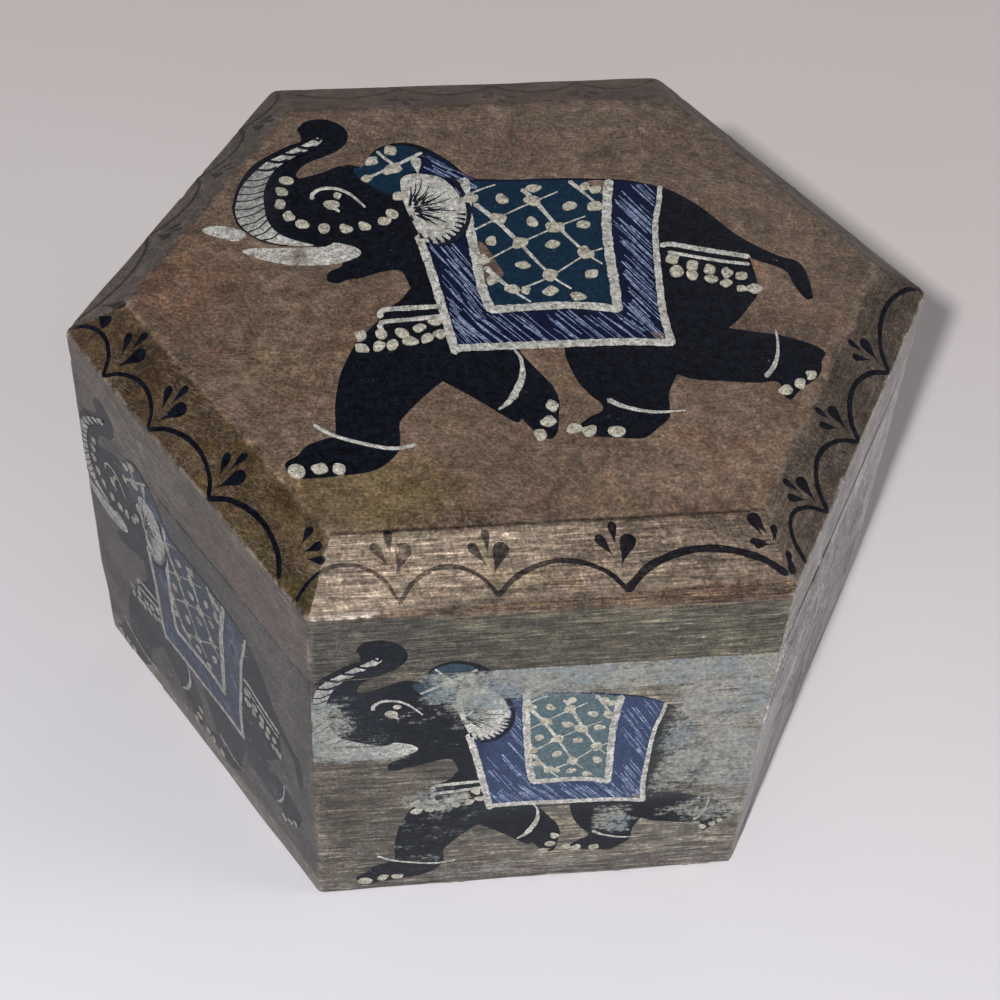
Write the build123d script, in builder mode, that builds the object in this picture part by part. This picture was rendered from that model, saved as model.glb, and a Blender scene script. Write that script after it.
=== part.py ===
from build123d import *
import os
from math import cos, radians

# A trinket box carved from two blocks of soapstone: a hollow base and a lift-off lid.
# Millimetres, +Z up. The origin is the middle of the face that the box stands on.
# The plan is a regular hexagon with two corners on the X axis and a flat side facing -Y.

# Outside of the box
across_corners = 100.0
base_height = 42.5
lid_side_height = 10.5  # from the joint up to the outer arris of the lid
bevel_width = 7.0  # of the painted border, seen from above
bevel_rise = 3.6  # from the outer arris up to the flat top panel

# Inside of the base
wall_thickness = 6.5
floor_thickness = 7.0
cavity_corner_radius = 5.0
cavity_floor_radius = 2.5

# Plug under the lid, which drops into the mouth of the cavity
plug_height = 4.0
plug_clearance = 0.4
plug_lead_in = 0.8

# Edges dressed by the carver
base_corner_flat = 0.4
lid_corner_flat = 0.8
joint_arris_flat = 0.25
lid_arris_flat_width = 0.6
lid_arris_flat_height = 0.8
mouth_arris_flat = 0.4
foot_bevel_width = 0.8
foot_bevel_height = 3.8

# Sizes that follow from those above
side_count = 6
outside_apothem = across_corners / 2 * cos(radians(180 / side_count))
cavity_apothem = outside_apothem - wall_thickness
plug_apothem = cavity_apothem - plug_clearance
plug_corner_radius = cavity_corner_radius - plug_clearance
border_apothem = outside_apothem - lid_arris_flat_width
panel_apothem = outside_apothem - bevel_width
arris_height = base_height + lid_side_height
border_height = arris_height + lid_arris_flat_height
box_height = arris_height + bevel_rise

os.makedirs("parts", exist_ok=True)


def hexagon(apothem):
    """A hexagon on the sketch in hand, with the given distance from its middle to each side."""
    return RegularPolygon(apothem, side_count, major_radius=False)


# Base: a hexagonal block, hollowed by hand to a flat floor with rounded inside corners
with BuildPart() as base:
    with BuildSketch():
        hexagon(outside_apothem)
    extrude(amount=base_height)
    chamfer(base.edges().filter_by(Axis.Z), base_corner_flat)
    foot = base.faces().sort_by(Axis.Z)[0]
    chamfer(foot.edges(), foot_bevel_width, foot_bevel_height, reference=foot)
    rim = base.faces().sort_by(Axis.Z)[-1]
    chamfer(rim.edges(), joint_arris_flat)

    with BuildSketch(Plane.XY.offset(floor_thickness)) as cavity_plan:
        hexagon(cavity_apothem)
        fillet(cavity_plan.vertices(), cavity_corner_radius)
    extrude(amount=base_height - floor_thickness, mode=Mode.SUBTRACT)
    cavity_floor = base.faces().filter_by(Plane.XY).sort_by(Axis.Z)[1]
    fillet(cavity_floor.edges(), cavity_floor_radius)
    rim = base.faces().sort_by(Axis.Z)[-1]
    chamfer(rim.inner_wires()[0].edges(), mouth_arris_flat)
base.part.label = "base"
export_step(base.part, "parts/base.step")

# Lid: a slab with bevelled borders round a flat panel, and a plug that seats it in the base
with BuildPart() as lid:
    with BuildSketch(Plane.XY.offset(base_height)):
        hexagon(outside_apothem)
    extrude(amount=lid_side_height)
    with BuildSketch(Plane.XY.offset(arris_height)):
        hexagon(outside_apothem)
    with BuildSketch(Plane.XY.offset(border_height)):
        hexagon(border_apothem)
    with BuildSketch(Plane.XY.offset(box_height)):
        hexagon(panel_apothem)
    loft(ruled=True)
    chamfer(lid.edges().filter_by(Axis.Z), lid_corner_flat)
    underside = lid.faces().sort_by(Axis.Z)[0]
    chamfer(underside.edges(), joint_arris_flat)

    with BuildSketch(Plane.XY.offset(base_height)) as plug_plan:
        hexagon(plug_apothem)
        fillet(plug_plan.vertices(), plug_corner_radius)
    extrude(amount=-plug_height)
    plug_face = lid.faces().sort_by(Axis.Z)[0]
    chamfer(plug_face.edges(), plug_lead_in)
lid.part.label = "lid"
export_step(lid.part, "parts/lid.step")

print("across corners", across_corners, "across sides", round(2 * outside_apothem, 2), "height", box_height)
print("cavity across sides", round(2 * cavity_apothem, 2), "depth", base_height - floor_thickness)
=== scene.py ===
from functools import reduce
from math import cos, hypot, pi, radians, sin, sqrt

import bmesh
import bpy
import numpy as np
from mathutils import Matrix, Vector
from mathutils.geometry import delaunay_2d_cdt


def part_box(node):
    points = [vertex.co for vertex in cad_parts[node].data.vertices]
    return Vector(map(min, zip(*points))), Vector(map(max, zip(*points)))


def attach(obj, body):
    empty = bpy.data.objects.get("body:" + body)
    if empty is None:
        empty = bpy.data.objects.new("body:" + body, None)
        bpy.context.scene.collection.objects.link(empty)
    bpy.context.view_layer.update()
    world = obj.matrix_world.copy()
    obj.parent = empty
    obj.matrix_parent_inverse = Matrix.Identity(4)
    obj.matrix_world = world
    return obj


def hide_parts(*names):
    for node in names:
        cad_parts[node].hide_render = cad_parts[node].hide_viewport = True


# A small box carved from soapstone and painted by hand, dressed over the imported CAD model.
# Lengths in this script are millimetres until a mesh is made, and then metres.
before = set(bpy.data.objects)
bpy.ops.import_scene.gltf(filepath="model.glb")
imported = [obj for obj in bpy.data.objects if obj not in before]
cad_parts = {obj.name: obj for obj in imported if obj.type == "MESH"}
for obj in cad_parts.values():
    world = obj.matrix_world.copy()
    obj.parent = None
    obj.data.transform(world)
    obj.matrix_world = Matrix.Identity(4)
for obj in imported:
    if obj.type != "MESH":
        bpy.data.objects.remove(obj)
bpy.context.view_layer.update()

METRES = 0.001

# Sizes from the frame
base_low, base_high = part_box("base")
lid_low, lid_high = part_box("lid")
outside_apothem = base_high.y / METRES
joint_height = base_high.z / METRES
box_height = lid_high.z / METRES
plug_bottom = lid_low.z / METRES

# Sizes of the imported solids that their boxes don't give
lid_side_height = 10.5
wall_thickness = 6.5
floor_thickness = 7.0
cavity_corner_radius = 5.0
cavity_floor_radius = 2.5
plug_clearance = 0.4
plug_lead_in = 0.8
foot_bevel_width = 0.8
foot_bevel_height = 3.8

arris_height = joint_height + lid_side_height
bevel_rise = box_height - arris_height
cavity_apothem = outside_apothem - wall_thickness
plug_apothem = cavity_apothem - plug_clearance
side_length = 2 * outside_apothem / sqrt(3)

# The six sides in order, by the direction that each faces, and how far in each bevel runs
SIDES = ["left_front", "front", "right_front", "right_back", "back", "left_back"]
FRONT = SIDES.index("front")
RIGHT_FRONT = SIDES.index("right_front")
RIGHT_BACK = SIDES.index("right_back")
SIDE_ANGLE = [radians(-150 + 60 * k) for k in range(6)]
BEVEL_INSET = [6.5, 8.1, 6.0, 4.8, 9.2, 6.0]


def outward(side):
    return np.array([cos(SIDE_ANGLE[side]), sin(SIDE_ANGLE[side]), 0.0])


def along(side):
    """The direction that runs left to right along a side, seen from outside."""
    return np.array([-sin(SIDE_ANGLE[side]), cos(SIDE_ANGLE[side]), 0.0])


# Distance fields of the two stones
def rise(value, start, end):
    """0 up to start, 1 past end, straight between; start may be the larger of the two."""
    return np.clip((value - start) / (end - start), 0, 1)


def wobble(points, length, seed):
    """A smooth random field, mostly within -1 to 1, that changes over the given length."""
    waves = 9
    dice = np.random.default_rng(seed)
    field = np.zeros(len(points))
    for _ in range(waves):
        direction = dice.normal(size=3)
        direction /= np.linalg.norm(direction)
        rate = 2 * pi / length * dice.uniform(0.6, 1.6)
        field += np.sin(points @ (direction * rate) + dice.uniform(0, 2 * pi))
    return field / sqrt(waves)


def round_join(a, b, radius):
    """Distance field of what lies inside both a and b, its edge worn to a radius."""
    over_a = np.maximum(a + radius, 0)
    over_b = np.maximum(b + radius, 0)
    return np.hypot(over_a, over_b) + np.minimum(np.maximum(a, b) + radius, 0) - radius


def hexagon_distance(points, apothem, corner_radius):
    """Distance in plan from a hexagon that lies like the box, with rounded corners."""
    inner = apothem - corner_radius
    x = np.abs(points[:, 0])
    y = np.abs(points[:, 1])
    fold = 2 * np.minimum(-sin(pi / 3) * x + 0.5 * y, 0)
    x = x + fold * sin(pi / 3)
    y = y - fold * 0.5
    half = inner / sqrt(3)
    x = x - np.clip(x, -half, half)
    y = y - inner
    return np.hypot(x, y) * np.sign(y) - corner_radius


def by_hand(points, length, seed):
    """A random field from 0 to 2 for what the carver's hand makes uneven."""
    return 1 + np.clip(wobble(points, length, seed), -1, 1)


NICK_EDGE = 0.12  # radius that the edge of a chip is worn to
NICK_REACH = 0.5  # how far beyond its ball a chip is worked out
FACE_UNEVEN = 0.035  # how far, on average, a face dressed by hand falls short of its plane


class Nick:
    """A chip broken out of an edge: what a ball of the given radius takes away."""

    def __init__(self, place, facing, radius, depth):
        facing = np.array(facing, float)
        facing /= np.linalg.norm(facing)
        self.middle = np.array(place, float) + facing * (radius - depth)
        self.radius = radius

    def cut(self, points, distance):
        """Take the chip out of a stone's distances at some points."""
        x = points[:, 0] - self.middle[0]
        y = points[:, 1] - self.middle[1]
        z = points[:, 2] - self.middle[2]
        span = x * x + y * y + z * z
        near = np.flatnonzero(span < (self.radius + NICK_REACH) ** 2)
        if len(near):
            gone = self.radius - np.sqrt(span[near])
            distance[near] = round_join(distance[near], gone, NICK_EDGE)
        return distance


def nicks_along(start, end, facing, count, dice, biggest):
    """Chips scattered along one edge, small ones far more often than big ones."""
    start = np.array(start, float)
    end = np.array(end, float)
    found = []
    for _ in range(count):
        depth = 0.05 + biggest * dice.random() ** 3
        radius = dice.uniform(0.5, 2.2)
        place = start + (end - start) * dice.random()
        found.append(Nick(place, np.array(facing) + 0.3 * dice.normal(size=3), radius, depth))
    return found


def corner(side, apothem, height):
    """Where a side meets the next one, at one apothem and height."""
    middle = SIDE_ANGLE[side] + pi / 6
    reach = apothem / cos(pi / 6)
    return np.array([reach * cos(middle), reach * sin(middle), height])


def edge_point(side, u, apothem, height):
    """A point of a side by its distance u to the right of the side's middle."""
    return outward(side) * apothem + along(side) * u + np.array([0, 0, height])


def bevel_plane(side):
    """Outward normal and offset of a lid bevel, through the arris and the edge of the panel."""
    inset = BEVEL_INSET[side]
    normal = outward(side) * bevel_rise + np.array([0, 0, inset])
    normal /= np.linalg.norm(normal)
    return normal, normal @ edge_point(side, 0, outside_apothem, arris_height)


def bevel_point(side, u, t):
    """A point of a bevel: u to the right of its middle and t up its slope from the arris."""
    inset = BEVEL_INSET[side]
    slope = hypot(inset, bevel_rise)
    run = t / slope
    return edge_point(side, u, outside_apothem - run * inset, arris_height + run * bevel_rise)


def plane_through(a, b, c):
    """Normal and offset of the plane through three points, facing away from the box's middle."""
    normal = np.cross(b - a, c - a)
    normal /= np.linalg.norm(normal)
    offset = normal @ a
    if offset < normal @ np.array([0, 0, joint_height]):
        return -normal, -offset
    return normal, offset


# The arris of the front is dressed to a strip that widens to the right
STRIP_END = 25
front_strip = plane_through(
    edge_point(FRONT, -STRIP_END, outside_apothem, arris_height - 0.35),
    bevel_point(FRONT, -STRIP_END, 0.35),
    bevel_point(FRONT, STRIP_END, 1.5),
)

# Chips along the edges
FOOT_LEAN = 0.12  # how far in the worn foot of the base leans at the floor
CORNER_REACH = 50  # of a corner from the middle of the box, in plan
BASE_EDGE = 38  # length of the base's upright edges that has chips broken out
dice = np.random.default_rng(7)
lid_nicks = []
base_nicks = []
for side in range(6):
    bevel_normal = bevel_plane(side)[0]
    left = corner(side - 1, outside_apothem, arris_height)
    right = corner(side, outside_apothem, arris_height)
    lid_nicks += nicks_along(left, right, outward(side) + bevel_normal, 7, dice, 0.25)
    down = np.array([0, 0, joint_height - arris_height])
    lid_nicks += nicks_along(right, right + down, right * [1, 1, 0] / CORNER_REACH, 4, dice, 0.25)
    for facing_down, nicks in ((1, lid_nicks), (-1, base_nicks)):
        facing = outward(side) - [0, 0, facing_down]
        nicks += nicks_along(left + down, right + down, facing, 5, dice, 0.12)
    foot_left = corner(side - 1, outside_apothem - FOOT_LEAN, 0)
    foot_right = corner(side, outside_apothem - FOOT_LEAN, 0)
    base_nicks += nicks_along(foot_left, foot_right, outward(side) - [0, 0, 0.6], 5, dice, 0.22)
    shin = corner(side, outside_apothem, foot_bevel_height)
    facing = shin * [1, 1, 0] / CORNER_REACH
    base_nicks += nicks_along(shin, shin + [0, 0, BASE_EDGE], facing, 6, dice, 0.2)
for u, radius, depth in ((-8.6, 2.6, 0.45), (1.5, 3.0, 0.25), (11.2, 3.2, 0.3), (19.6, 2.0, 0.3)):
    place = edge_point(FRONT, u, outside_apothem - FOOT_LEAN, 0)
    base_nicks.append(Nick(place, outward(FRONT) + [0, 0, -0.5], radius, depth))

# The lid rests unevenly near its right front side and leaves a thin wedge of a gap there
GAP_HEIGHT = 0.45


def gap_under_lid(points):
    across = points @ along(RIGHT_FRONT)
    depth = outside_apothem - points @ outward(RIGHT_FRONT)
    length = rise(across, 14, -10) * rise(across, -26, -24)
    return GAP_HEIGHT * length * np.clip(1.5 - depth / 3, 0, 1)


def lid_field(points):
    """Distance outside the lid, its edges worn and with chips broken out."""
    worn = 0.5 * by_hand(points, 14, 41)
    uneven = FACE_UNEVEN * by_hand(points, 24, 100)
    faces = [points @ outward(side) - outside_apothem + uneven for side in range(6)]
    sides = reduce(lambda a, b: round_join(a, b, 0.3 + 0.4 * worn), faces)
    above = points[:, 2] - box_height + uneven
    for side in range(6):
        normal, offset = bevel_plane(side)
        above = round_join(above, points @ normal - offset + uneven, 0.2 + 0.35 * worn)
    normal, offset = front_strip
    above = round_join(above, points @ normal - offset, 0.15)
    slab = round_join(sides, above, 0.15 + 0.25 * worn)
    underside = joint_height + gap_under_lid(points) - points[:, 2]
    slab = round_join(slab, underside, 0.09 + 0.07 * worn)
    for nick in lid_nicks:
        slab = nick.cut(points, slab)
    wall = hexagon_distance(points, plug_apothem, cavity_corner_radius - plug_clearance)
    rough = 0.05 * by_hand(points, 9, 71)
    end = plug_bottom - points[:, 2] + rough
    lead_in = (wall + end + plug_lead_in) / sqrt(2)
    plug = round_join(round_join(wall + rough, end, 0.2), lead_in, 0.25)
    plug = np.maximum(plug, points[:, 2] - joint_height - 1)
    return np.minimum(slab, plug)


def base_field(points):
    """Distance outside the base, its edges worn and with chips broken out, hollowed by hand."""
    worn = 0.5 * by_hand(points, 14, 42)
    uneven = FACE_UNEVEN * by_hand(points, 24, 200)
    low = np.clip(1 - points[:, 2] / 10, 0, 1)
    faces = []
    for side in range(6):
        distance = points @ outward(side) - outside_apothem + uneven
        lean = distance * foot_bevel_height + (foot_bevel_height - points[:, 2]) * FOOT_LEAN
        foot = lean / hypot(foot_bevel_height, FOOT_LEAN)
        faces.append(round_join(distance, foot, 0.5 + 0.5 * worn))
    sides = reduce(lambda a, b: round_join(a, b, 0.35 + 0.4 * worn + 0.35 * low), faces)
    block = round_join(sides, -points[:, 2], 0.3 + 0.3 * worn)
    block = round_join(block, points[:, 2] - joint_height, 0.09 + 0.07 * worn)
    for nick in base_nicks:
        block = nick.cut(points, block)
    wall = hexagon_distance(points, cavity_apothem, cavity_corner_radius)
    rough = 0.07 * by_hand(points, 8, 73)
    floor = floor_thickness - points[:, 2] + rough
    hollow = round_join(wall + rough, floor, cavity_floor_radius)
    return round_join(block, -hollow, 0.3 + 0.2 * worn)


def settle(points, field, height=0.0, rounds=6):
    """Move points along the slope of a field until they lie at a height outside its surface."""
    points = points.copy()
    reach = 0.01
    least_steepness = 0.3
    longest_step = 0.6
    for _ in range(rounds):
        here = field(points)
        slope = np.empty_like(points)
        for axis in range(3):
            shifted = points.copy()
            shifted[:, axis] += reach
            slope[:, axis] = (field(shifted) - here) / reach
        step = (here - height) / np.maximum((slope ** 2).sum(axis=1), least_steepness)
        points -= slope * np.clip(step, -longest_step, longest_step)[:, None]
    return points


# Meshes
TRIANGLE_HEIGHT = 0.866  # of the inner grid, as a share of its spacing
EDGE_MARGIN = 0.45  # of the inner grid from the outline, as a share of its spacing
CAP_SPACING = 1.6  # of the points in the flat ends of a stone
POINTS_AT_ONCE = 300


class Shape:
    """A painted shape: its outline, and points inside it that give its surface its form."""

    def __init__(self, outline, inside=()):
        self.outline = np.array(outline, float)
        self.inside = np.array(inside, float).reshape(-1, 2)


def distance_to_segments(points, starts, ends):
    """Distance from each point in a plane to the nearest of some segments."""
    best = np.full(len(points), 1e9)
    run_x, run_y = (ends - starts).T
    length2 = np.maximum(run_x ** 2 + run_y ** 2, 1e-12)
    for first in range(0, len(points), POINTS_AT_ONCE):
        block = points[first:first + POINTS_AT_ONCE]
        x = block[:, :1] - starts[:, 0]
        y = block[:, 1:] - starts[:, 1]
        share = np.clip((x * run_x + y * run_y) / length2, 0, 1)
        x -= share * run_x
        y -= share * run_y
        best[first:first + POINTS_AT_ONCE] = np.sqrt((x * x + y * y).min(axis=1))
    return best


def is_inside(points, outline):
    """Whether each point lies inside a closed outline."""
    x, y = points[:, :1], points[:, 1:]
    x0, y0 = outline.T
    x1, y1 = np.roll(outline, -1, axis=0).T
    spans = (y0 > y) != (y1 > y)
    rise = np.where(y1 == y0, 1, y1 - y0)
    crossing = x0 + (y - y0) / rise * (x1 - x0)
    return (spans & (x < crossing)).sum(axis=1) % 2 == 1


def lattice(outline, spacing):
    """Points of a triangular grid inside an outline, clear of its edge."""
    low = outline.min(axis=0)
    high = outline.max(axis=0)
    rows = np.arange(low[1] + spacing / 3, high[1], spacing * TRIANGLE_HEIGHT)
    columns = np.arange(low[0], high[0], spacing)
    grid = np.array([(x + spacing / 2 * (k % 2), y) for k, y in enumerate(rows) for x in columns])
    grid = grid.reshape(-1, 2)
    grid = grid[is_inside(grid, outline)]
    edge = distance_to_segments(grid, outline, np.roll(outline, -1, axis=0))
    return grid[edge > EDGE_MARGIN * spacing]


def is_covered(points, shapes):
    """Whether each point lies in one of the shapes."""
    covered = np.zeros(len(points), bool)
    for shape in shapes:
        low = shape.outline.min(axis=0)
        high = shape.outline.max(axis=0)
        near = np.flatnonzero(~covered & np.all((points > low) & (points < high), axis=1))
        if len(near):
            covered[near] = is_inside(points[near], shape.outline)
    return covered


def fill(shapes, spacing, cuts=()):
    """Triangles over the union of some shapes; cuts are level lines that triangles don't cross."""
    corners = []
    faces = []
    for shape in shapes:
        faces.append(list(range(len(corners), len(corners) + len(shape.outline))))
        corners += [Vector(point) for point in shape.outline]
    edges = []
    for start, end in cuts:
        edges.append((len(corners), len(corners) + 1))
        corners += [Vector(start), Vector(end)]
    for shape in shapes:
        inside = shape.inside if len(shape.inside) else lattice(shape.outline, spacing)
        corners += [Vector(point) for point in inside]
    made = delaunay_2d_cdt(corners, edges, faces, 1, 1e-5)
    places = np.array([tuple(point) for point in made[0]])
    triangles = np.array([tuple(face) for face in made[2]])
    covered = is_covered(places[triangles].mean(axis=1), shapes)
    return places, [tuple(face) for face in triangles[covered].tolist()], made[3]


def make_piece(name, points, faces, body, sharp=60):
    """A mesh object from points in millimetres, riding on a body."""
    mesh = bpy.data.meshes.new(name)
    mesh.from_pydata((np.array(points) * METRES).tolist(), [], faces)
    tidy = bmesh.new()
    tidy.from_mesh(mesh)
    bmesh.ops.recalc_face_normals(tidy, faces=tidy.faces)
    tidy.to_mesh(mesh)
    tidy.free()
    mesh.shade_smooth()
    mesh.set_sharp_from_angle(angle=radians(sharp))
    piece = bpy.data.objects.new(name, mesh)
    bpy.context.scene.collection.objects.link(piece)
    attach(piece, body)
    return piece


def graded_steps(length, fine, coarse):
    """Distances from 0 to length, with steps that are fine at both ends and coarse between."""
    growth = 1.35
    half = [0.0]
    step = fine
    while half[-1] + step < length / 2 - step * 0.4:
        half.append(half[-1] + step)
        step = min(step * growth, coarse)
    return half + [length - d for d in reversed(half)]


side_shares = [d / side_length for d in graded_steps(side_length, 0.16, 0.46)][:-1]


def ring(apothems, height):
    """Points round a hexagon whose sides may lie at different distances from the middle."""
    corners = []
    for k in range(6):
        after = (k + 1) % 6
        lines = np.array([outward(k)[:2], outward(after)[:2]])
        corners.append(np.linalg.solve(lines, [apothems[k], apothems[after]]))
    points = []
    for k in range(6):
        start = corners[k - 1]
        end = corners[k]
        for share in side_shares:
            place = start + (end - start) * share
            points.append((place[0], place[1], height))
    return np.array(points)


def level(apothem, height):
    return ring([apothem] * 6, height)


def rings_through(*stops):
    """Rings along a path of stops, each with the finest and the coarsest step on the way to the next."""
    rings = []
    for (first, fine, coarse), after in zip(stops, stops[1:]):
        length = np.linalg.norm(first - after[0], axis=1).max()
        for distance in graded_steps(length, fine, coarse)[:-1]:
            rings.append(first + (after[0] - first) * (distance / length))
    return rings + [stops[-1][0]]


def stone(name, rings, field, body):
    """A closed stone from rings, both ends filled, every point settled on the field's surface."""
    count = len(rings[0])
    points = [np.concatenate(rings)]
    faces = []
    for row in range(len(rings) - 1):
        for k in range(count):
            a = row * count + k
            b = row * count + (k + 1) % count
            faces.append((a, b, b + count, a + count))
    for first, end_ring in ((0, rings[0]), ((len(rings) - 1) * count, rings[-1])):
        places, triangles, origin = fill([Shape(end_ring[:, :2])], CAP_SPACING)
        number = {}
        extra = []
        total = sum(len(block) for block in points)
        for index, sources in enumerate(origin):
            on_ring = [source for source in sources if source < count]
            if on_ring:
                number[index] = first + on_ring[0]
            else:
                number[index] = total + len(extra)
                extra.append((places[index][0], places[index][1], end_ring[0][2]))
        points.append(np.array(extra))
        faces += [tuple(number[corner] for corner in triangle) for triangle in triangles]
    points = settle(np.concatenate(points), field)
    return make_piece(name, points, faces, body)


# Rings of the two stones: where each lies, and the finest and coarsest step on the way to the next.
# The last ring of a flat end lies a little way in, and the rest of the end is filled
END_MARGIN = 6
PLUG_END_MARGIN = 4
PANEL_CORE = np.array([0.86, 0.86, 1])

# Lid
panel_ring = ring([outside_apothem - inset for inset in BEVEL_INSET], box_height)
lid_rings = rings_through(
    (panel_ring * PANEL_CORE, 0.3, 1.6),
    (panel_ring, 0.14, 0.9),
    (level(outside_apothem, arris_height), 0.09, 1.0),
    (level(outside_apothem, joint_height), 0.09, 1.4),
    (level(plug_apothem, joint_height), 0.2, 0.7),
    (level(plug_apothem, plug_bottom), 0.12, 1.2),
    (level(plug_apothem - PLUG_END_MARGIN, plug_bottom),),
)
lid = stone("lid_soapstone", lid_rings, lid_field, "lid")
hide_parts("lid")

# Base
base_rings = rings_through(
    (level(outside_apothem - END_MARGIN, 0), 0.14, 1.4),
    (level(outside_apothem - foot_bevel_width, 0), 0.14, 0.6),
    (level(outside_apothem, foot_bevel_height), 0.2, 1.3),
    (level(outside_apothem, joint_height), 0.09, 1.2),
    (level(cavity_apothem, joint_height), 0.12, 1.6),
    (level(cavity_apothem, floor_thickness), 0.4, 1.0),
    (level(cavity_apothem - END_MARGIN, floor_thickness),),
)
base = stone("base_soapstone", base_rings, base_field, "base")
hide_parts("base")

# Curves for the painting
def smooth(points, pace=0.45):
    """A smooth line through some points (Catmull-Rom), without its last point."""
    points = [np.array(point, float) for point in points]
    if len(points) < 3:
        return [points[0]]
    ends = [2 * points[0] - points[1]] + points + [2 * points[-1] - points[-2]]
    line = []
    for k in range(1, len(ends) - 2):
        before, start, end, after = ends[k - 1:k + 3]
        steps = max(1, int(round(np.linalg.norm(end - start) / pace)))
        for step in range(steps):
            t = step / steps
            line.append(0.5 * (
                2 * start
                + (end - before) * t
                + (2 * before - 5 * start + 4 * end - after) * t ** 2
                + (3 * start - before - 3 * end + after) * t ** 3
            ))
    return line


def closed(*stretches):
    """An outline from smooth stretches, with corners where they meet."""
    outline = []
    for stretch in stretches:
        outline += smooth(stretch)
    return Shape(outline)


def loop(points):
    """A closed smooth outline without corners."""
    line = smooth(list(points[-2:]) + list(points) + list(points[:2]))
    start = np.array(points[0], float)
    first = min(range(len(line) // 2), key=lambda k: np.linalg.norm(line[k] - start))
    end = min(range(len(line) // 2, len(line)), key=lambda k: np.linalg.norm(line[k] - start))
    return Shape(line[first:end])


def stroke(points, width, end_width=None, pace=0.5):
    """The outline of one brush stroke along a smooth line, round at both ends."""
    line = smooth(points, pace) + [np.array(points[-1], float)]
    end_width = width if end_width is None else end_width
    line = np.array(line)
    run = np.gradient(line, axis=0)
    run /= np.maximum(np.linalg.norm(run, axis=1), 1e-9)[:, None]
    normal = np.stack([-run[:, 1], run[:, 0]], axis=1)
    share = np.linspace(0, 1, len(line))
    half = (width + (end_width - width) * share) / 2
    x, y = line[0]
    unsteady = np.sin(share * 23 * len(line) / 12 + x * 7) * np.cos(share * 41 + y)
    half = half * (1 + 0.16 * unsteady)
    left = line + normal * half[:, None]
    right = line - normal * half[:, None]
    tail = line[-1] + run[-1] * half[-1] * 0.8
    head = line[0] - run[0] * half[0] * 0.8
    return Shape([head] + list(left) + [tail] + list(right[::-1]), line)


def dab(x, y, size, dice, stretch=1.12):
    """The outline of one dot put down with the tip of a brush."""
    turn = dice.uniform(0, pi)
    wide = size / 2 * sqrt(stretch)
    tall = size / 2 / sqrt(stretch)
    bumps = dice.uniform(-0.12, 0.12, 3)
    outline = []
    for k in range(14):
        angle = 2 * pi * k / 14
        swell = 1 + bumps[0] * sin(2 * angle) + bumps[1] * cos(3 * angle) + bumps[2] * sin(4 * angle)
        a = wide * swell * cos(angle)
        b = tall * swell * sin(angle)
        outline.append((x + a * cos(turn) - b * sin(turn), y + a * sin(turn) + b * cos(turn)))
    middle = np.array([x, y])
    ring_inside = middle + (np.array(outline[::2]) - middle) * 0.62
    return Shape(outline, list(ring_inside) + [middle])


def leaf(start, end, width):
    """A painted leaf: pointed at its start, swelling to a round end."""
    start = np.array(start, float)
    end = np.array(end, float)
    run = end - start
    normal = np.array([-run[1], run[0]]) / np.linalg.norm(run)
    shape = [(0.25, 0.2), (0.5, 0.62), (0.72, 0.98), (0.88, 0.92), (0.97, 0.5)]
    left = [start + run * share + normal * width / 2 * part for share, part in shape]
    right = [start + run * share - normal * width / 2 * part for share, part in shape]
    outline = smooth([start] + left + [end]) + smooth([end] + right[::-1] + [start])
    return Shape(outline, [start + run * share for share in (0.3, 0.5, 0.7, 0.85)])


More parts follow.
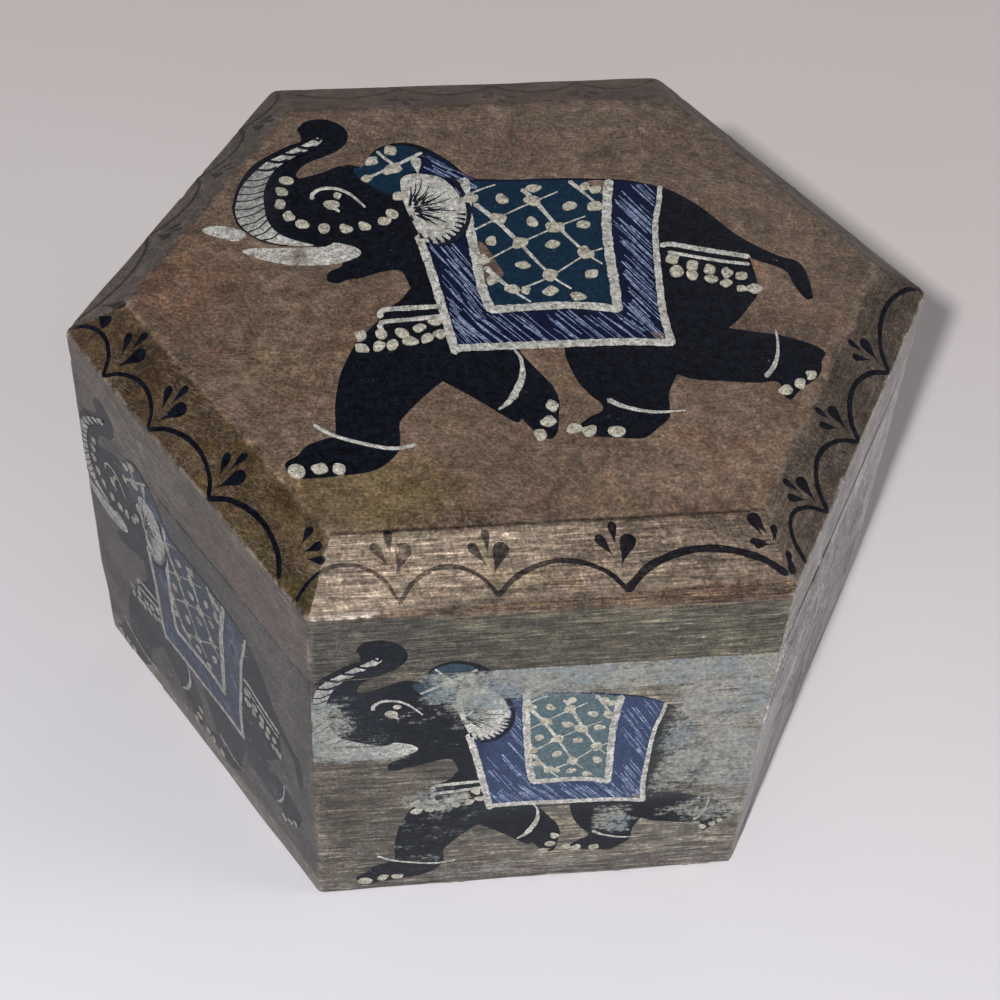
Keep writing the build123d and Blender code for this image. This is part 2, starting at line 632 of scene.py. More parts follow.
# The painted elephant, in millimetres on the lid's top panel
# Its outline, in smooth stretches that each go on from the end of the one before
BODY = [
    # Curl of the trunk
    [(-21.5, 31.8), (-20, 32.3), (-18.5, 32.1), (-17, 31), (-16.3, 29.6), (-16.3, 28.2), (-16.8, 27),
     (-18, 25.8), (-19.5, 24.9), (-21.2, 24), (-22.3, 23), (-22.9, 21.8)],
    # Forehead
    [(-22.6, 21.1), (-21, 21.5), (-19.5, 22.1), (-17.8, 23), (-16.3, 23.2), (-14.8, 22.6)],
    # Dome of the cap
    [(-14.2, 24), (-13.5, 25.4), (-12.2, 26.5), (-10.2, 27.1), (-8.5, 26.8), (-6.8, 25.8), (-5.2, 24.2),
     (-4, 22.8), (-3, 21.2), (-2, 20), (-1, 19.7)],
    # Back and tail
    [(3, 19.3), (9, 19.2), (13.6, 18.8), (17, 18.3), (20.4, 17), (22.1, 15.9), (24.6, 13.2), (26.6, 10),
     (28.2, 7.6), (30.4, 5.3), (32.4, 3.7), (34.2, 2.8), (34.9, 1.4), (35.1, -1), (34.9, -3.8)],
    # Inside of the tail
    [(34.2, -4), (33.8, -3.5), (33.1, -1.2), (32.8, 0.8), (31.7, 1.9), (30.1, 2.8), (28.9, 3.6)],
    # Rump
    [(29, -0.3), (28.6, -2.7), (27.4, -4.4), (25.7, -6.6), (24.2, -8)],
    # Far hind leg
    [(27, -8.8), (29.8, -9.6), (32.4, -10.9), (33.9, -12), (34.3, -12.9), (33.6, -14), (33.3, -15.3),
     (32.6, -16.5), (31.5, -17.3), (30, -18.5), (28.9, -19.7), (28.2, -19)],
    # Under the far hind leg
    [(28, -16.9), (25.5, -16.9), (22, -16.4), (18.8, -15.9), (17.1, -15)],
    # Hind leg, right
    [(16.1, -16.9), (15.6, -18.3), (15.4, -20.2), (15.1, -21.5), (13.6, -23), (12.1, -24.2),
     (10.8, -24.3), (9.2, -24), (6.5, -23.6), (5.2, -22.6), (5.4, -21.7)],
    # Hind leg, left
    [(6.8, -20.6), (8, -20), (8.1, -18.9), (7.1, -17.5), (6.1, -15.5), (5.5, -13.2), (5.2, -11.2),
     (5.3, -9.6)],
    # Belly
    [(0.2, -9.8)],
    # Second foreleg, right
    [(0.4, -10.6), (1.5, -12.7), (2.7, -14.8), (3.3, -16.2), (3.6, -18.1), (3.3, -20), (2.8, -22.7),
     (1.9, -23.7), (0.9, -23.3), (0.3, -22.4), (-0.8, -20.5)],
    # Second foreleg, left
    [(-1.4, -21), (-3, -19.6), (-5.2, -17.4), (-7.3, -15.5), (-8.7, -14.3)],
    # Foreleg
    [(-9.8, -15.3), (-11.6, -17.2), (-13.3, -19.3), (-13.9, -20.4), (-14, -22.4), (-14.3, -24.2),
     (-15.5, -25.8), (-17.2, -26.9), (-19.9, -27.3), (-23.7, -27.5), (-25.4, -27.3), (-26.2, -25.9),
     (-26.1, -25), (-24.9, -24.2), (-23.9, -22.9), (-22.2, -22.1), (-20.8, -21.7)],
    # Chest
    [(-20.7, -20.5), (-20.6, -17.7), (-20.3, -15.3), (-19.7, -12.4), (-18.7, -9.8), (-17.8, -7.9),
     (-16.5, -6.1), (-15.2, -4.5), (-13.5, -2.2), (-12.2, -1), (-10.9, 0.9)],
    # Jaw
    [(-11.8, 3.8), (-13.9, 3.8), (-16.4, 2.9), (-18, 2.7), (-18.9, 2.2), (-20.2, 2.6), (-20, 4.1),
     (-18.4, 5.1), (-18.6, 6.2)],
    # Under the tusk
    [(-21.5, 8.8), (-25, 9)],
    # Trunk
    [(-27.5, 10), (-29, 11.5), (-30.1, 13), (-30.6, 15.5), (-30.5, 17), (-30, 19.5), (-29.1, 21.8),
     (-27.8, 24), (-25.5, 26), (-23.3, 27.5), (-22.1, 28), (-22, 29.2), (-22.4, 30.4)],
]
TRUNK_UNDERSIDE = [
    (-20, 28.6), (-21.5, 27.5), (-23.2, 26.4), (-24.6, 25.4), (-26.1, 24.4), (-27.5, 22.8),
    (-28.8, 20.8), (-29.6, 19.2), (-30.1, 17), (-30.3, 15.5), (-30, 13.5), (-29.1, 11.9), (-27.8, 10.5),
    (-25.5, 9.4), (-23, 8.9), (-21.5, 8.9),
]
TRUNK_UNDERSIDE_INNER = [
    (-21.5, 8.9), (-23.5, 9.8), (-25, 10.8), (-26, 12), (-26.7, 14), (-26.9, 16.5), (-26.8, 18.8),
    (-26.2, 21), (-25.2, 23), (-23.8, 24.4), (-22, 25.8), (-20.5, 26.8), (-19.4, 28), (-20, 28.6),
]
TUSK = [
    (-29.7, 8.3), (-28.8, 8.7), (-26, 8.6), (-23, 8.5), (-20, 8.5), (-19.2, 9.1), (-18, 8.8),
    (-16.8, 8.2), (-16.1, 7.4), (-16.3, 6.7), (-17.2, 6.1), (-19, 5.5), (-21.5, 5.4), (-24, 5.6),
    (-26.5, 6.4), (-28.5, 7.4),
]
FAR_TUSK = [
    (-34.2, 12.2), (-33.2, 12.8), (-31.5, 12.7), (-30, 12.1), (-29.2, 11.3), (-29.5, 10.5),
    (-30.5, 10.2), (-32, 10.7), (-33.4, 11.5),
]
CAP = [
    (-13.9, 24.3), (-12.7, 25.7), (-10.6, 26.5), (-8.4, 26), (-7.7, 24.9), (-8.1, 22), (-10.4, 20.5),
    (-10.8, 18), (-12, 17.3), (-13.8, 18.8), (-15.4, 20.4), (-16, 22.2), (-14.8, 22.8),
]
EAR = [
    (-10.4, 20.2), (-9, 21), (-7.5, 20.8), (-5.8, 20.2), (-4.7, 18.8), (-3.9, 17), (-3.4, 14.4),
    (-3.7, 12), (-4.5, 10.1), (-5.9, 8.7), (-7.4, 8.3), (-8.7, 8.9), (-9.3, 10.6), (-9.9, 13),
    (-10.4, 15.5), (-10.6, 18),
]

# White lines that frame the saddle cloth
FRAME_LEFT = [(-9.2, 9.5), (-8.4, 4), (-7.6, -3), (-6.9, -9.9)]
FRAME_BOTTOM = [(-6.5, -9.3), (5, -9.4), (12, -9.5), (17.3, -10)]
FRAME_RIGHT = [(17.3, -10.2), (17.2, -5), (17.6, 0), (18.1, 5), (18.8, 10), (19.9, 14), (20.5, 16.8)]
PANEL_LEFT = [(-2.8, 19.6), (-3.1, 15), (-3.1, 10), (-3, 5), (-2.8, 0), (-2.2, -3.5)]
PANEL_BOTTOM = [(-2.2, -3.4), (1, -3.3), (6, -3.2), (10, -3.7), (12.2, -4.3)]
PANEL_RIGHT = [(12.1, -4.3), (12.4, 0), (12.6, 5), (13, 10), (13.8, 15), (14.5, 18.2)]

# White strokes: the line that each follows, its width, and its width at the end where that differs
FRAME_STROKES = [(FRAME_LEFT, 1.0), (FRAME_BOTTOM, 1.05), (FRAME_RIGHT, 0.95, 0.6)]
PANEL_STROKES = [(PANEL_LEFT, 1.1), (PANEL_BOTTOM, 1.15), (PANEL_RIGHT, 1.15)]
BODY_STROKES = [
    # Harness on the chest
    ([(-14.7, -3.6), (-14.3, -2.6), (-11, -2.45), (-8, -2.4)], 0.7),
    ([(-14.7, -5.8), (-14.6, -4.6), (-11, -4.3), (-8, -4)], 0.6),
    # Bands round the legs
    ([(-22.9, -20), (-21, -21.6), (-18, -23), (-15, -23.9), (-12.5, -23.6)], 0.42),
    ([(-0.3, -10), (0.2, -11.5), (0, -14.3), (-1.2, -17)], 0.25, 0.95),
    ([(-1.2, -17), (-2, -18.1), (-3.1, -19)], 0.95, 0.2),
    ([(9, -18.5), (10.5, -19.6), (13.5, -20.6), (17, -20.6)], 0.7, 0.12),
    ([(29.4, -8.9), (29.3, -10.5), (28.8, -12.8), (28, -14.6), (26.9, -16)], 0.2, 0.6),
    # Eye
    ([(-21.2, 17.2), (-21.1, 18), (-20, 18.9), (-18.3, 18.8), (-16.8, 17.8), (-15.7, 16.3),
      (-15.1, 15.3)], 0.55, 0.25),
    ([(-19, 15.9), (-18.6, 15.2), (-18.2, 14.7)], 0.9, 0.3),
    # Cap
    ([(-12.9, 25.4), (-11.8, 23.7), (-10.5, 22.2)], 0.4),
    ([(-7.6, 24.9), (-11, 22.6), (-15, 20.2)], 0.45),
]
LATTICE_STROKES = [
    ([(-2.9, 10.2), (2.5, 13.6), (8, 16.6)], 0.26, 0.2),
    ([(-1.6, 5), (2.3, 7.6), (6.9, 10.2), (10.7, 12)], 0.26, 0.2),
    ([(2, 0), (5.2, 1.7), (9.8, 5.2), (11.9, 6.2)], 0.26, 0.2),
    ([(-2.3, 17), (-0.8, 17.8), (0.7, 18.4)], 0.26, 0.2),
    ([(-2, 14.9), (0, 12), (2.3, 7.8), (5.3, 1.9), (7.3, -0.5)], 0.7, 0.24),
    ([(3.9, 17.2), (5, 15.3), (7.2, 10.4), (9.9, 5.5), (11.5, 3.5)], 0.7, 0.24),
    ([(9.8, 18.4), (11.2, 16.2), (12.5, 14)], 0.7, 0.24),
    ([(-2, 3.6), (0.5, -0.2), (2.4, -2.4)], 0.7, 0.24),
]
RUMP_STROKES = [
    ([(19, 6.2), (20, 6.4), (24, 5.1), (28.7, 3.7)], 0.7),
    ([(19.6, 5), (20.8, 4.6), (25, 3.2), (28.5, 2.4)], 0.5),
]

# Dots: the middle of each, and its size where that isn't left to chance
LATTICE_KNOTS = [
    (0.4, 12.2, 1.9), (4.8, 15.1, 1.9), (2.4, 7.7, 1.9), (6.9, 10.2, 2.1), (9.8, 5.5, 2),
    (5.2, 1.9, 1.9), (-2.2, 5, 1.6), (-2.5, 16, 1.8), (0.6, -0.2, 1.6), (2.1, -0.5, 1.2),
    (12.1, 13.7, 1.8),
]
SADDLE_DOTS = [
    (1.2, 15.7), (5.2, 17.4), (4.3, 11.3), (9.1, 13.9), (10.3, 10.5), (6.2, 7.2), (-0.9, 8.2),
    (2.3, 3.8), (10, 1.8), (4.9, -0.8), (7.9, -1.9), (-1.5, 1.5), (11.4, 17.3), (12.6, 16.7),
]
FACE_DOTS = [
    (-24.1, 20.6), (-24.75, 18.6), (-25, 16.3), (-24.1, 14.1), (-22.6, 12.6), (-20.1, 11.7),
    (-17.6, 11.5), (-15.4, 11.8), (-13, 12.6), (-12, 13.8),
]
CAP_DOTS = [(-11.3, 25.5, 1.7), (-13.7, 23.6, 1.6), (-14.5, 20.4, 1.3), (-10.8, 17, 1.7)]
CHEST_DOTS = [
    (-17.1, -6.6), (-14.8, -6.5), (-12.5, -6.5), (-10.5, -5.8), (-8.7, -4.8), (-17.1, -8.6),
    (-15.2, -8.4), (-13.7, -8.3), (-11.7, -7.8), (-9.8, -7.5), (-8.2, -6.9),
]
RUMP_DOTS = [
    (19.8, 3.8, 1.7), (21.9, 2.5, 1.6), (23.8, 1.7, 1.5), (25.7, 1, 1.5), (27.3, 0.4, 1.4),
    (19.9, 1.6, 1.8), (21.6, 0.9, 1.5), (23.7, 0.1, 1.4), (25.3, -0.7, 1.3), (26.9, -1.7, 1.1),
    (28.4, -1.8, 1.7),
]
TOENAILS = [
    (-25.1, -26.5, 1.9), (-22.7, -26.3, 1.6), (-20.7, -26.5, 1.5), (2.7, -18.9, 1.5), (2, -21.2, 1.6),
    (0.9, -23.1, 1.5), (4.6, -22.4, 1.5), (6.2, -22.9, 1.6), (9.1, -23.2, 1.7), (28.6, -18.3, 1.5),
    (30.4, -17.4, 1.4), (31.9, -16.2, 1.3),
]


def trunk_creases():
    """Thin dark creases across the pale underside of the trunk, closest together low down."""
    outer = np.array(smooth(TRUNK_UNDERSIDE))
    inner = np.array(smooth(TRUNK_UNDERSIDE_INNER[::-1]))
    creases = []
    place = 0.03
    while place < 0.86:
        high = place < 0.42
        a = outer[int(place * (len(outer) - 1))]
        b = inner[int(min(1, place * 1.02) * (len(inner) - 1))]
        creases.append(stroke([a, (a + b) / 2 + [0.1, -0.35], b], 0.44 if high else 0.18))
        place += 0.078 if high else 0.045
    return creases


def ear_creases(dice):
    """Thin dark lines that fan out over the ear, and the dark edge below and to the right of it."""
    root = np.array([-9.9, 14.4])
    outline = loop(EAR).outline - root
    reach = np.hypot(*outline.T)
    turn = np.arctan2(outline[:, 1], outline[:, 0])
    creases = []
    for angle in np.linspace(-0.9, 1.45, 22):
        full = reach[np.argmin(np.abs(turn - angle))]
        near = dice.uniform(0.6, 2.4)
        far = min(near + dice.uniform(1.2, 3.6), full - 0.3)
        way = np.array([cos(angle), sin(angle)])
        across = np.array([-way[1], way[0]])
        middle = root + way * (near + far) / 2 + across * dice.uniform(-0.25, 0.25)
        creases.append(stroke([root + way * near, middle, root + way * far], dice.uniform(0.2, 0.5), 0.1))
    for angle in np.linspace(-1.5, -0.2, 11):
        full = reach[np.argmin(np.abs(turn - angle))]
        way = np.array([cos(angle), sin(angle)])
        creases.append(stroke([root + way * (full - 0.9), root + way * (full - 0.3), root + way * full],
                              0.15, 0.5))
    creases.append(stroke([(-4.3, 19.9), (-3.4, 17.2), (-2.9, 14.5), (-3.2, 12), (-4.1, 9.8),
                           (-5.7, 8.2), (-7.6, 7.7)], 0.65, 0.45))
    return creases


def line_x(points, y):
    """How far right a nearly upright line lies at a height."""
    along_line, up_line = np.array(sorted(points, key=lambda point: point[1])).T
    return np.interp(y, up_line, along_line)


def line_y(points, x):
    """How high a nearly level line lies at a place."""
    return line_x([point[::-1] for point in points], x)


def hatching(dice, share, rubbed, panel_left, panel_bottom, panel_right):
    """Pale strokes brushed slantwise over the blue band of the saddle cloth."""
    def in_dome_band(x, y):
        return -7.4 < x < -1.6 and 20.9 - 0.75 * (x + 6) < y < 24.6 - 0.97 * (x + 7)

    def in_right_band(x, y):
        return line_x(panel_right, y) + 0.7 < x < line_x(FRAME_RIGHT, y) - 0.6 and -9 < y < 17.3

    def in_bottom_band(x, y):
        return -6.2 < x < 14.6 and line_y(FRAME_BOTTOM, x) + 0.65 < y < line_y(panel_bottom, x) - 0.7

    def in_left_band(x, y):
        right_edge = line_x(panel_left, y) - 0.7 if y < 15 else 0.5 * (27.5 - y) - 8.2
        left_edge = max(line_x(FRAME_LEFT, y) + 0.6, -4.0 if y > 9 else -99)
        return left_edge < x < right_edge and -9 < y < 19.5

    strokes = []
    bands = ((in_dome_band, (-7.4, -1.6), (16, 25), -0.85, 60),
             (in_right_band, (11 if rubbed else 12, 19.5), (-9, 18), -1.9, 150),
             (in_bottom_band, (-7, 16), (-10, -3), -1.35, 125),
             (in_left_band, (-9, 0 if rubbed else -2), (-9, 24), -2.1, 140))
    for inside, span_x, span_y, slope, count in bands:
        for _ in range(int(count * share)):
            x = dice.uniform(*span_x)
            y = dice.uniform(*span_y)
            lean = slope * dice.uniform(0.92, 1.1)
            width = (0.06 + 0.17 * dice.random() ** 2) * (1.5 if rubbed else 1.0)
            reach = dice.uniform(2, 6.5)
            if not inside(x, y):
                continue
            run = np.array([1, lean]) / hypot(1, lean)
            start = np.array([x, y])
            end = start.copy()
            while inside(*end) and np.linalg.norm(end - start) < reach:
                end = end + run * 0.25
            while inside(*start) and np.linalg.norm(end - start) < reach:
                start = start - run * 0.25
            if np.linalg.norm(end - start) > 1:
                bend = np.array([run[1], -run[0]]) * dice.uniform(-0.12, 0.12)
                strokes.append(stroke([start, (start + end) / 2 + bend, end], width, width * 0.6, 1.1))
    return strokes


def elephant(seed, fineness=1.0, rubbed=False):
    """Outlines of one elephant, by the coat of paint that they belong to."""
    dice = np.random.default_rng(seed)

    def pinched(points):
        """Points of the cloth's middle, which the painter left narrower on the rubbed side."""
        return [(0.81 * (x + 3) - 1.0, *rest) for x, *rest in points] if rubbed else points

    panel_left = pinched(PANEL_LEFT)
    panel_bottom = pinched(PANEL_BOTTOM)
    panel_right = pinched(PANEL_RIGHT)
    coats = {}
    coats["navy"] = [closed(*[BODY[k - 1][-1:] + BODY[k] for k in range(len(BODY))])]
    coats["blue"] = [closed(
        [(-9.2, 9.6), (-8.4, 4), (-7.6, -3), (-6.9, -9.6)],
        [(-6.9, -9.6), (5, -9.4), (17.2, -9.9)],
        FRAME_RIGHT[1:],
        [(20.5, 16.8), (17, 18), (9, 18.9), (-1, 19.4)],
        [(-1, 19.4), (-3.2, 21.1), (-5.2, 23.8), (-7, 25.2)],
        [(-7, 25.2), (-7.8, 22.5), (-9, 17), (-9.2, 9.6)],
    )]
    panel_top = pinched([(14.5, 18.2), (9, 18.8), (3, 18.9), (-2.8, 19.3)])
    coats["teal"] = [closed(panel_left, panel_bottom, panel_right, panel_top), loop(CAP)]
    bare_by_hem = closed([(15.3, -8.2), (16.2, -8), (16.7, -8.6), (16.7, -9.3)],
                         [(16.7, -9.3), (15.8, -9.2), (15.3, -8.2)])
    bare_in_panel = [
        closed([(-2.9, 8.6), (-1.9, 8), (-1.2, 6.2), (-0.5, 4), (-0.1, 2.4), (-0.9, 1.7), (-2.7, 1.5)],
               [(-2.7, 1.5), (-2.9, 5), (-2.9, 8.6)]),
        closed([(11.9, 18.5), (12.4, 17.2), (13.1, 16), (13.8, 15.6)],
               [(13.8, 15.6), (14.2, 18.2), (11.9, 18.5)]),
    ]
    coats["bare"] = [bare_by_hem] if rubbed else bare_in_panel + [bare_by_hem]
    coats["hatch"] = hatching(dice, fineness, rubbed, panel_left, panel_bottom, panel_right)
    white = [closed(TRUNK_UNDERSIDE, TRUNK_UNDERSIDE_INNER), loop(TUSK), loop(FAR_TUSK), loop(EAR)]
    white += [stroke(*one) for one in FRAME_STROKES]
    white += [stroke(pinched(line), width) for line, width in PANEL_STROKES]
    white += [stroke(*one) for one in BODY_STROKES]
    white.append(leaf((-8.3, 20.4), (-8.4, 24.1), 1.3))
    white += [stroke(pinched(line), width, end_width) for line, width, end_width in LATTICE_STROKES]
    coats["white"] = white if rubbed else white + [stroke(*one) for one in RUMP_STROKES]
    dots = [dab(-18.2, 17.5, 1.0, dice), dab(-19, 15.9, 1.7, dice), dab(-11.3, 22, 2.1, dice, 1.5)]
    rows = ((pinched(SADDLE_DOTS), 1.4, 1.7, 1.3), ([] if rubbed else FACE_DOTS, 1.45, 1.6, 1.25),
            (CHEST_DOTS, 1.35, 1.6, 1.3))
    for places, smallest, biggest, stretch in rows:
        dots += [dab(x, y, dice.uniform(smallest, biggest), dice, stretch) for x, y in places]
    sized = pinched(LATTICE_KNOTS) + TOENAILS + ([] if rubbed else CAP_DOTS + RUMP_DOTS)
    coats["dots"] = dots + [dab(x, y, size, dice, 1.2) for x, y, size in sized]
    coats["ink"] = trunk_creases() + ear_creases(dice) + [dab(-8.8, 14.2, 0.8, dice)]
    return coats


# The border of the lid, on each bevel: u along the side and t up its slope
def scallops(cusps, tops, feet, widths):
    """Arcs between cusps: how high the top of each is, the foot of each cusp, and the brush's width."""
    arcs = []
    for k, (top, width) in enumerate(zip(tops, widths)):
        left, right = cusps[k:k + 2]
        low, after = feet[k:k + 2]
        arc = []
        for share in np.linspace(0, 1, 9):
            foot = low + (after - low) * share
            arc.append((left + (right - left) * share, foot + (top - foot) * sin(pi * share) ** 0.7))
        arcs.append(stroke(arc, width * 1.2, width))
    return arcs


def sprig(u, t, lean, size):
    """Three leaves that grow from one root over a cusp."""
    root = np.array([u, t])
    leaves = []
    for start, end, width in (((0.1, 0), (1.3, 3.4), 1.75), ((-0.3, 2.2), (-0.5, 4.9), 0.95),
                              ((-0.5, 1.0), (-2.2, 3.5), 1.05)):
        tip = np.array(end) + [lean, 0]
        leaves.append(leaf(root + np.array(start) * size, root + tip * size, width * size))
    return leaves


# For each side: cusps, tops, feet and widths of the scallops, then the sprigs and their size
BORDERS = [
    ([-25.2, -16.4, -6.6, 5.7, 19.0], [3.1, 2.9, 2.9, 3.0], [0.6, 0.1, 0.1, 0.3, 0.6],
     [0.5, 0.45, 0.5, 0.55], [(-16.0, 2.0, 0), (-6.6, 1.5, 0), (5.2, 1.5, 0.2)], 1.02),
    ([-26.3, -15.6, -5.6, 7.6, 24.2], [5.5, 4.7, 4.6, 5.0], [2.3, 1.2, 1.3, 1.1, 1.8],
     [0.4, 0.42, 0.5, 0.75], [(-15.9, 4.0, 0), (-6.0, 3.5, 0), (7.1, 3.6, 0)], 1.0),
    ([-21.1, -13.5, -2.1, 9.8, 25.3], [3.9, 3.9, 3.5, 4.0], [0.3, 0.2, 0.2, 0.3, 0.5],
     [0.5, 0.55, 0.6, 0.55], [(-13.6, 2.0, 0), (-2.0, 2.1, 0), (9.9, 2.0, 0)], 0.92),
    ([-24, -13, -2, 10, 22], [3.0, 2.8, 3.0, 2.8], [0.3, 0.2, 0.2, 0.2, 0.3],
     [0.4] * 4, [(-13, 1.8, 0), (-2, 1.8, 0), (10, 1.8, 0)], 0.65),
    ([-24, -14, -3, 9, 23], [4.6, 4.8, 4.6, 4.8], [1.2, 1.2, 1.2, 1.2, 1.4],
     [0.45] * 4, [(-14, 3.8, 0), (-3, 3.8, 0), (9, 3.8, 0)], 1.0),
    ([-25, -16, -5.2, 6.9, 23], [3.0] * 4, [0.2, 0.1, 0.1, 0.1, 0.2],
     [0.42] * 4, [(-16, 2, 0), (-5.6, 2, 0), (6.9, 2, 0)], 0.75),
]
# Leaves near the ends of some sides: start, end and width
CORNER_LEAVES = {
    "left_front": [((-23.6, 4.1), (-21.3, 4.4), 1.7), ((18.0, 4.4), (17.2, 6.5), 1.0),
                   ((18.8, 4.1), (19.7, 6.1), 1.1), ((19.6, 3.9), (21.4, 5.3), 1.0)],
    "front": [((22.8, 6.0), (21.2, 8.5), 1.2), ((23.0, 5.0), (21.2, 5.2), 1.1),
              ((23.2, 5.2), (23.8, 7.2), 0.8), ((24.6, 2.2), (25.0, 4.4), 0.9)],
    "right_front": [((-22.0, 5.6), (-20.6, 8.4), 0.9), ((-22.0, 5.0), (-23.2, 6.8), 0.8),
                    ((-21.6, 4.2), (-20.1, 5.4), 0.8), ((-21.6, 2.6), (-23.6, 1.0), 1.0)],
    "left_back": [((20.6, 2.6), (21.2, 7.0), 1.3)],
}


# Laying paint on the stone
def face_place(origin, right, up):
    """What puts the points of a drawing on a flat face, from the face's origin and directions."""
    return lambda points: origin + points[:, :1] * right + points[:, 1:] * up


# How high each coat stands above the stone, at its edge and inside, and how wide its slope is
COATS = {
    "navy": (0.012, 0.035, 0.3),
    "blue": (0.045, 0.055, 0.3),
    "teal": (0.065, 0.075, 0.3),
    "bare": (0.08, 0.082, 0.3),
    "hatch": (0.085, 0.1, 0.12),
    "white": (0.115, 0.17, 0.35),
    "ink": (0.18, 0.19, 0.15),
    "dots": (0.19, 0.26, 0.7),
}
COAT_SPACING = 1.3
UNDER_SURFACE = -0.04  # height of the hidden underside of a coat
JOINT_MARGIN = 0.08  # of bare stone above and below the joint
WALL_COAT_SHARE = 0.4  # of a coat's height on the top, for the same coat on a wall
FIELDS = {"lid": lid_field, "base": base_field}


def free_edges(triangles):
    """The edges that only one triangle has."""
    edges = {}
    for a, b, c in triangles:
        edges.update(dict.fromkeys(((a, b), (b, c), (c, a))))
    return [(a, b) for a, b in edges if (b, a) not in edges]


class Coat:
    """One colour of paint on one body: closed thin sheets gathered from all the faces."""

    def __init__(self, field):
        self.field = field
        self.points = []
        self.faces = []
        self.count = 0

    def add(self, flat, triangles, tops, place):
        """Add a sheet; tops is how high each of its points stands above the stone."""
        if not triangles:
            return
        used = sorted({corner for triangle in triangles for corner in triangle})
        number = {old: new for new, old in enumerate(used)}
        triangles = [tuple(number[corner] for corner in triangle) for triangle in triangles]
        spots = place(flat[used])
        self.points.append(settle(spots, self.field, tops[used], 3))
        self.points.append(settle(spots, self.field, UNDER_SURFACE, 3))
        top = self.count
        under = top + len(used)
        for a, b, c in triangles:
            self.faces.append((top + a, top + b, top + c))
            self.faces.append((under + c, under + b, under + a))
        for a, b in free_edges(triangles):
            self.faces.append((top + b, top + a, under + a, under + b))
        self.count += 2 * len(used)


coats = {(colour, body): Coat(FIELDS[body]) for colour in COATS for body in ("lid", "base")}


def lay(colour, shapes, place, on_wall=False):
    """Triangulate shapes in face coordinates and add them to the coats of the bodies below.

    On a wall, the coats are thinner and are split at the joint.
    """
    edge_height, height, slope = COATS[colour]
    lower_line = joint_height - JOINT_MARGIN
    upper_line = joint_height + JOINT_MARGIN
    cuts = []
    if on_wall:
        edge_height *= WALL_COAT_SHARE
        height *= WALL_COAT_SHARE
        everything = np.concatenate([shape.outline for shape in shapes])
        left, bottom = everything.min(axis=0)
        right, top = everything.max(axis=0)
        cuts = [((left - 1, line), (right + 1, line)) for line in (lower_line, upper_line)
                if bottom < line < top]
    flat, triangles, _ = fill(shapes, COAT_SPACING, cuts)
    rim = np.array(free_edges(triangles))
    inside = distance_to_segments(flat, flat[rim[:, 0]], flat[rim[:, 1]])
    share = np.clip(inside / slope, 0, 1)
    tops = edge_height + (height - edge_height) * np.sqrt(1 - (1 - share) ** 2)
    above = triangles
    if on_wall:
        middles = [flat[list(triangle)][:, 1].mean() for triangle in triangles]
        above = [triangle for triangle, middle in zip(triangles, middles) if middle > upper_line]
        below = [triangle for triangle, middle in zip(triangles, middles) if middle < lower_line]
        coats[colour, "base"].add(flat, below, tops, place)
    coats[colour, "lid"].add(flat, above, tops, place)


def paint_panel():
    place = face_place(np.array([0, 0, box_height]), np.array([1, 0, 0]), np.array([0, 1, 0]))
    for colour, shapes in elephant(1).items():
        lay(colour, shapes, place)


def paint_border(side):
    *arcs, sprigs, size = BORDERS[side]
    shapes = scallops(*arcs)
    for root in sprigs:
        shapes += sprig(*root, size)
    shapes += [leaf(*one) for one in CORNER_LEAVES.get(SIDES[side], [])]
    arris = bevel_point(side, 0, 0)
    lay("navy", shapes, face_place(arris, along(side), bevel_point(side, 0, 1) - arris))


# For each side: how far the drawing lies to the right and up, and how askew the painter drew it
SIDE_DRAWINGS = [
    (-3.4, 22.4, 0), (-0.3, 23.8, 1), (-2.8, 23.4, 0.3),
    (-1.6, 23.6, 0.6), (-2.6, 23.2, 0.2), (-1.2, 23.8, 0.8),
]
NEAR_CORNER = 23.6
SQUEEZED = 1.2  # width that all of a drawing past there is squeezed into, short of the corner


def on_side(points, shift_u, shift_z, sway):
    """Points of the drawing on the top as they lie on a side."""
    x, y = points.T
    u = shift_u + 0.74 * x + sway * (0.02 * x - 0.055 * y - 0.00235 * x * x)
    beyond = np.maximum(np.abs(u) - NEAR_CORNER, 0)
    reach = np.minimum(np.abs(u), NEAR_CORNER) + SQUEEZED * np.tanh(beyond / SQUEEZED)
    z = shift_z + 0.785 * y - sway * (0.035 * y + 0.023 * x + 0.0016 * x * y + 0.00155 * x * x)
    return np.column_stack([np.sign(u) * reach, z])


def paint_side(side):
    """The same elephant, smaller, on a side of the box, part of it on the lid's band."""
    place = face_place(outward(side) * outside_apothem, along(side), np.array([0, 0, 1]))
    drawing = SIDE_DRAWINGS[side]
    for colour, shapes in elephant(10 + side, 0.6, side == FRONT).items():
        placed = [Shape(on_side(one.outline, *drawing), on_side(one.inside, *drawing)) for one in shapes]
        lay(colour, placed, place, on_wall=True)


paint_panel()
for side in range(6):
    paint_border(side)
    paint_side(side)

# Colours, here and below, are as seen on a screen
PANEL_COLOUR = (99, 81, 68)
FOOT_COLOUR = (86, 81, 76)
INSIDE_COLOUR = (122, 110, 98)
UNDERSIDE_COLOUR = (108, 98, 88)
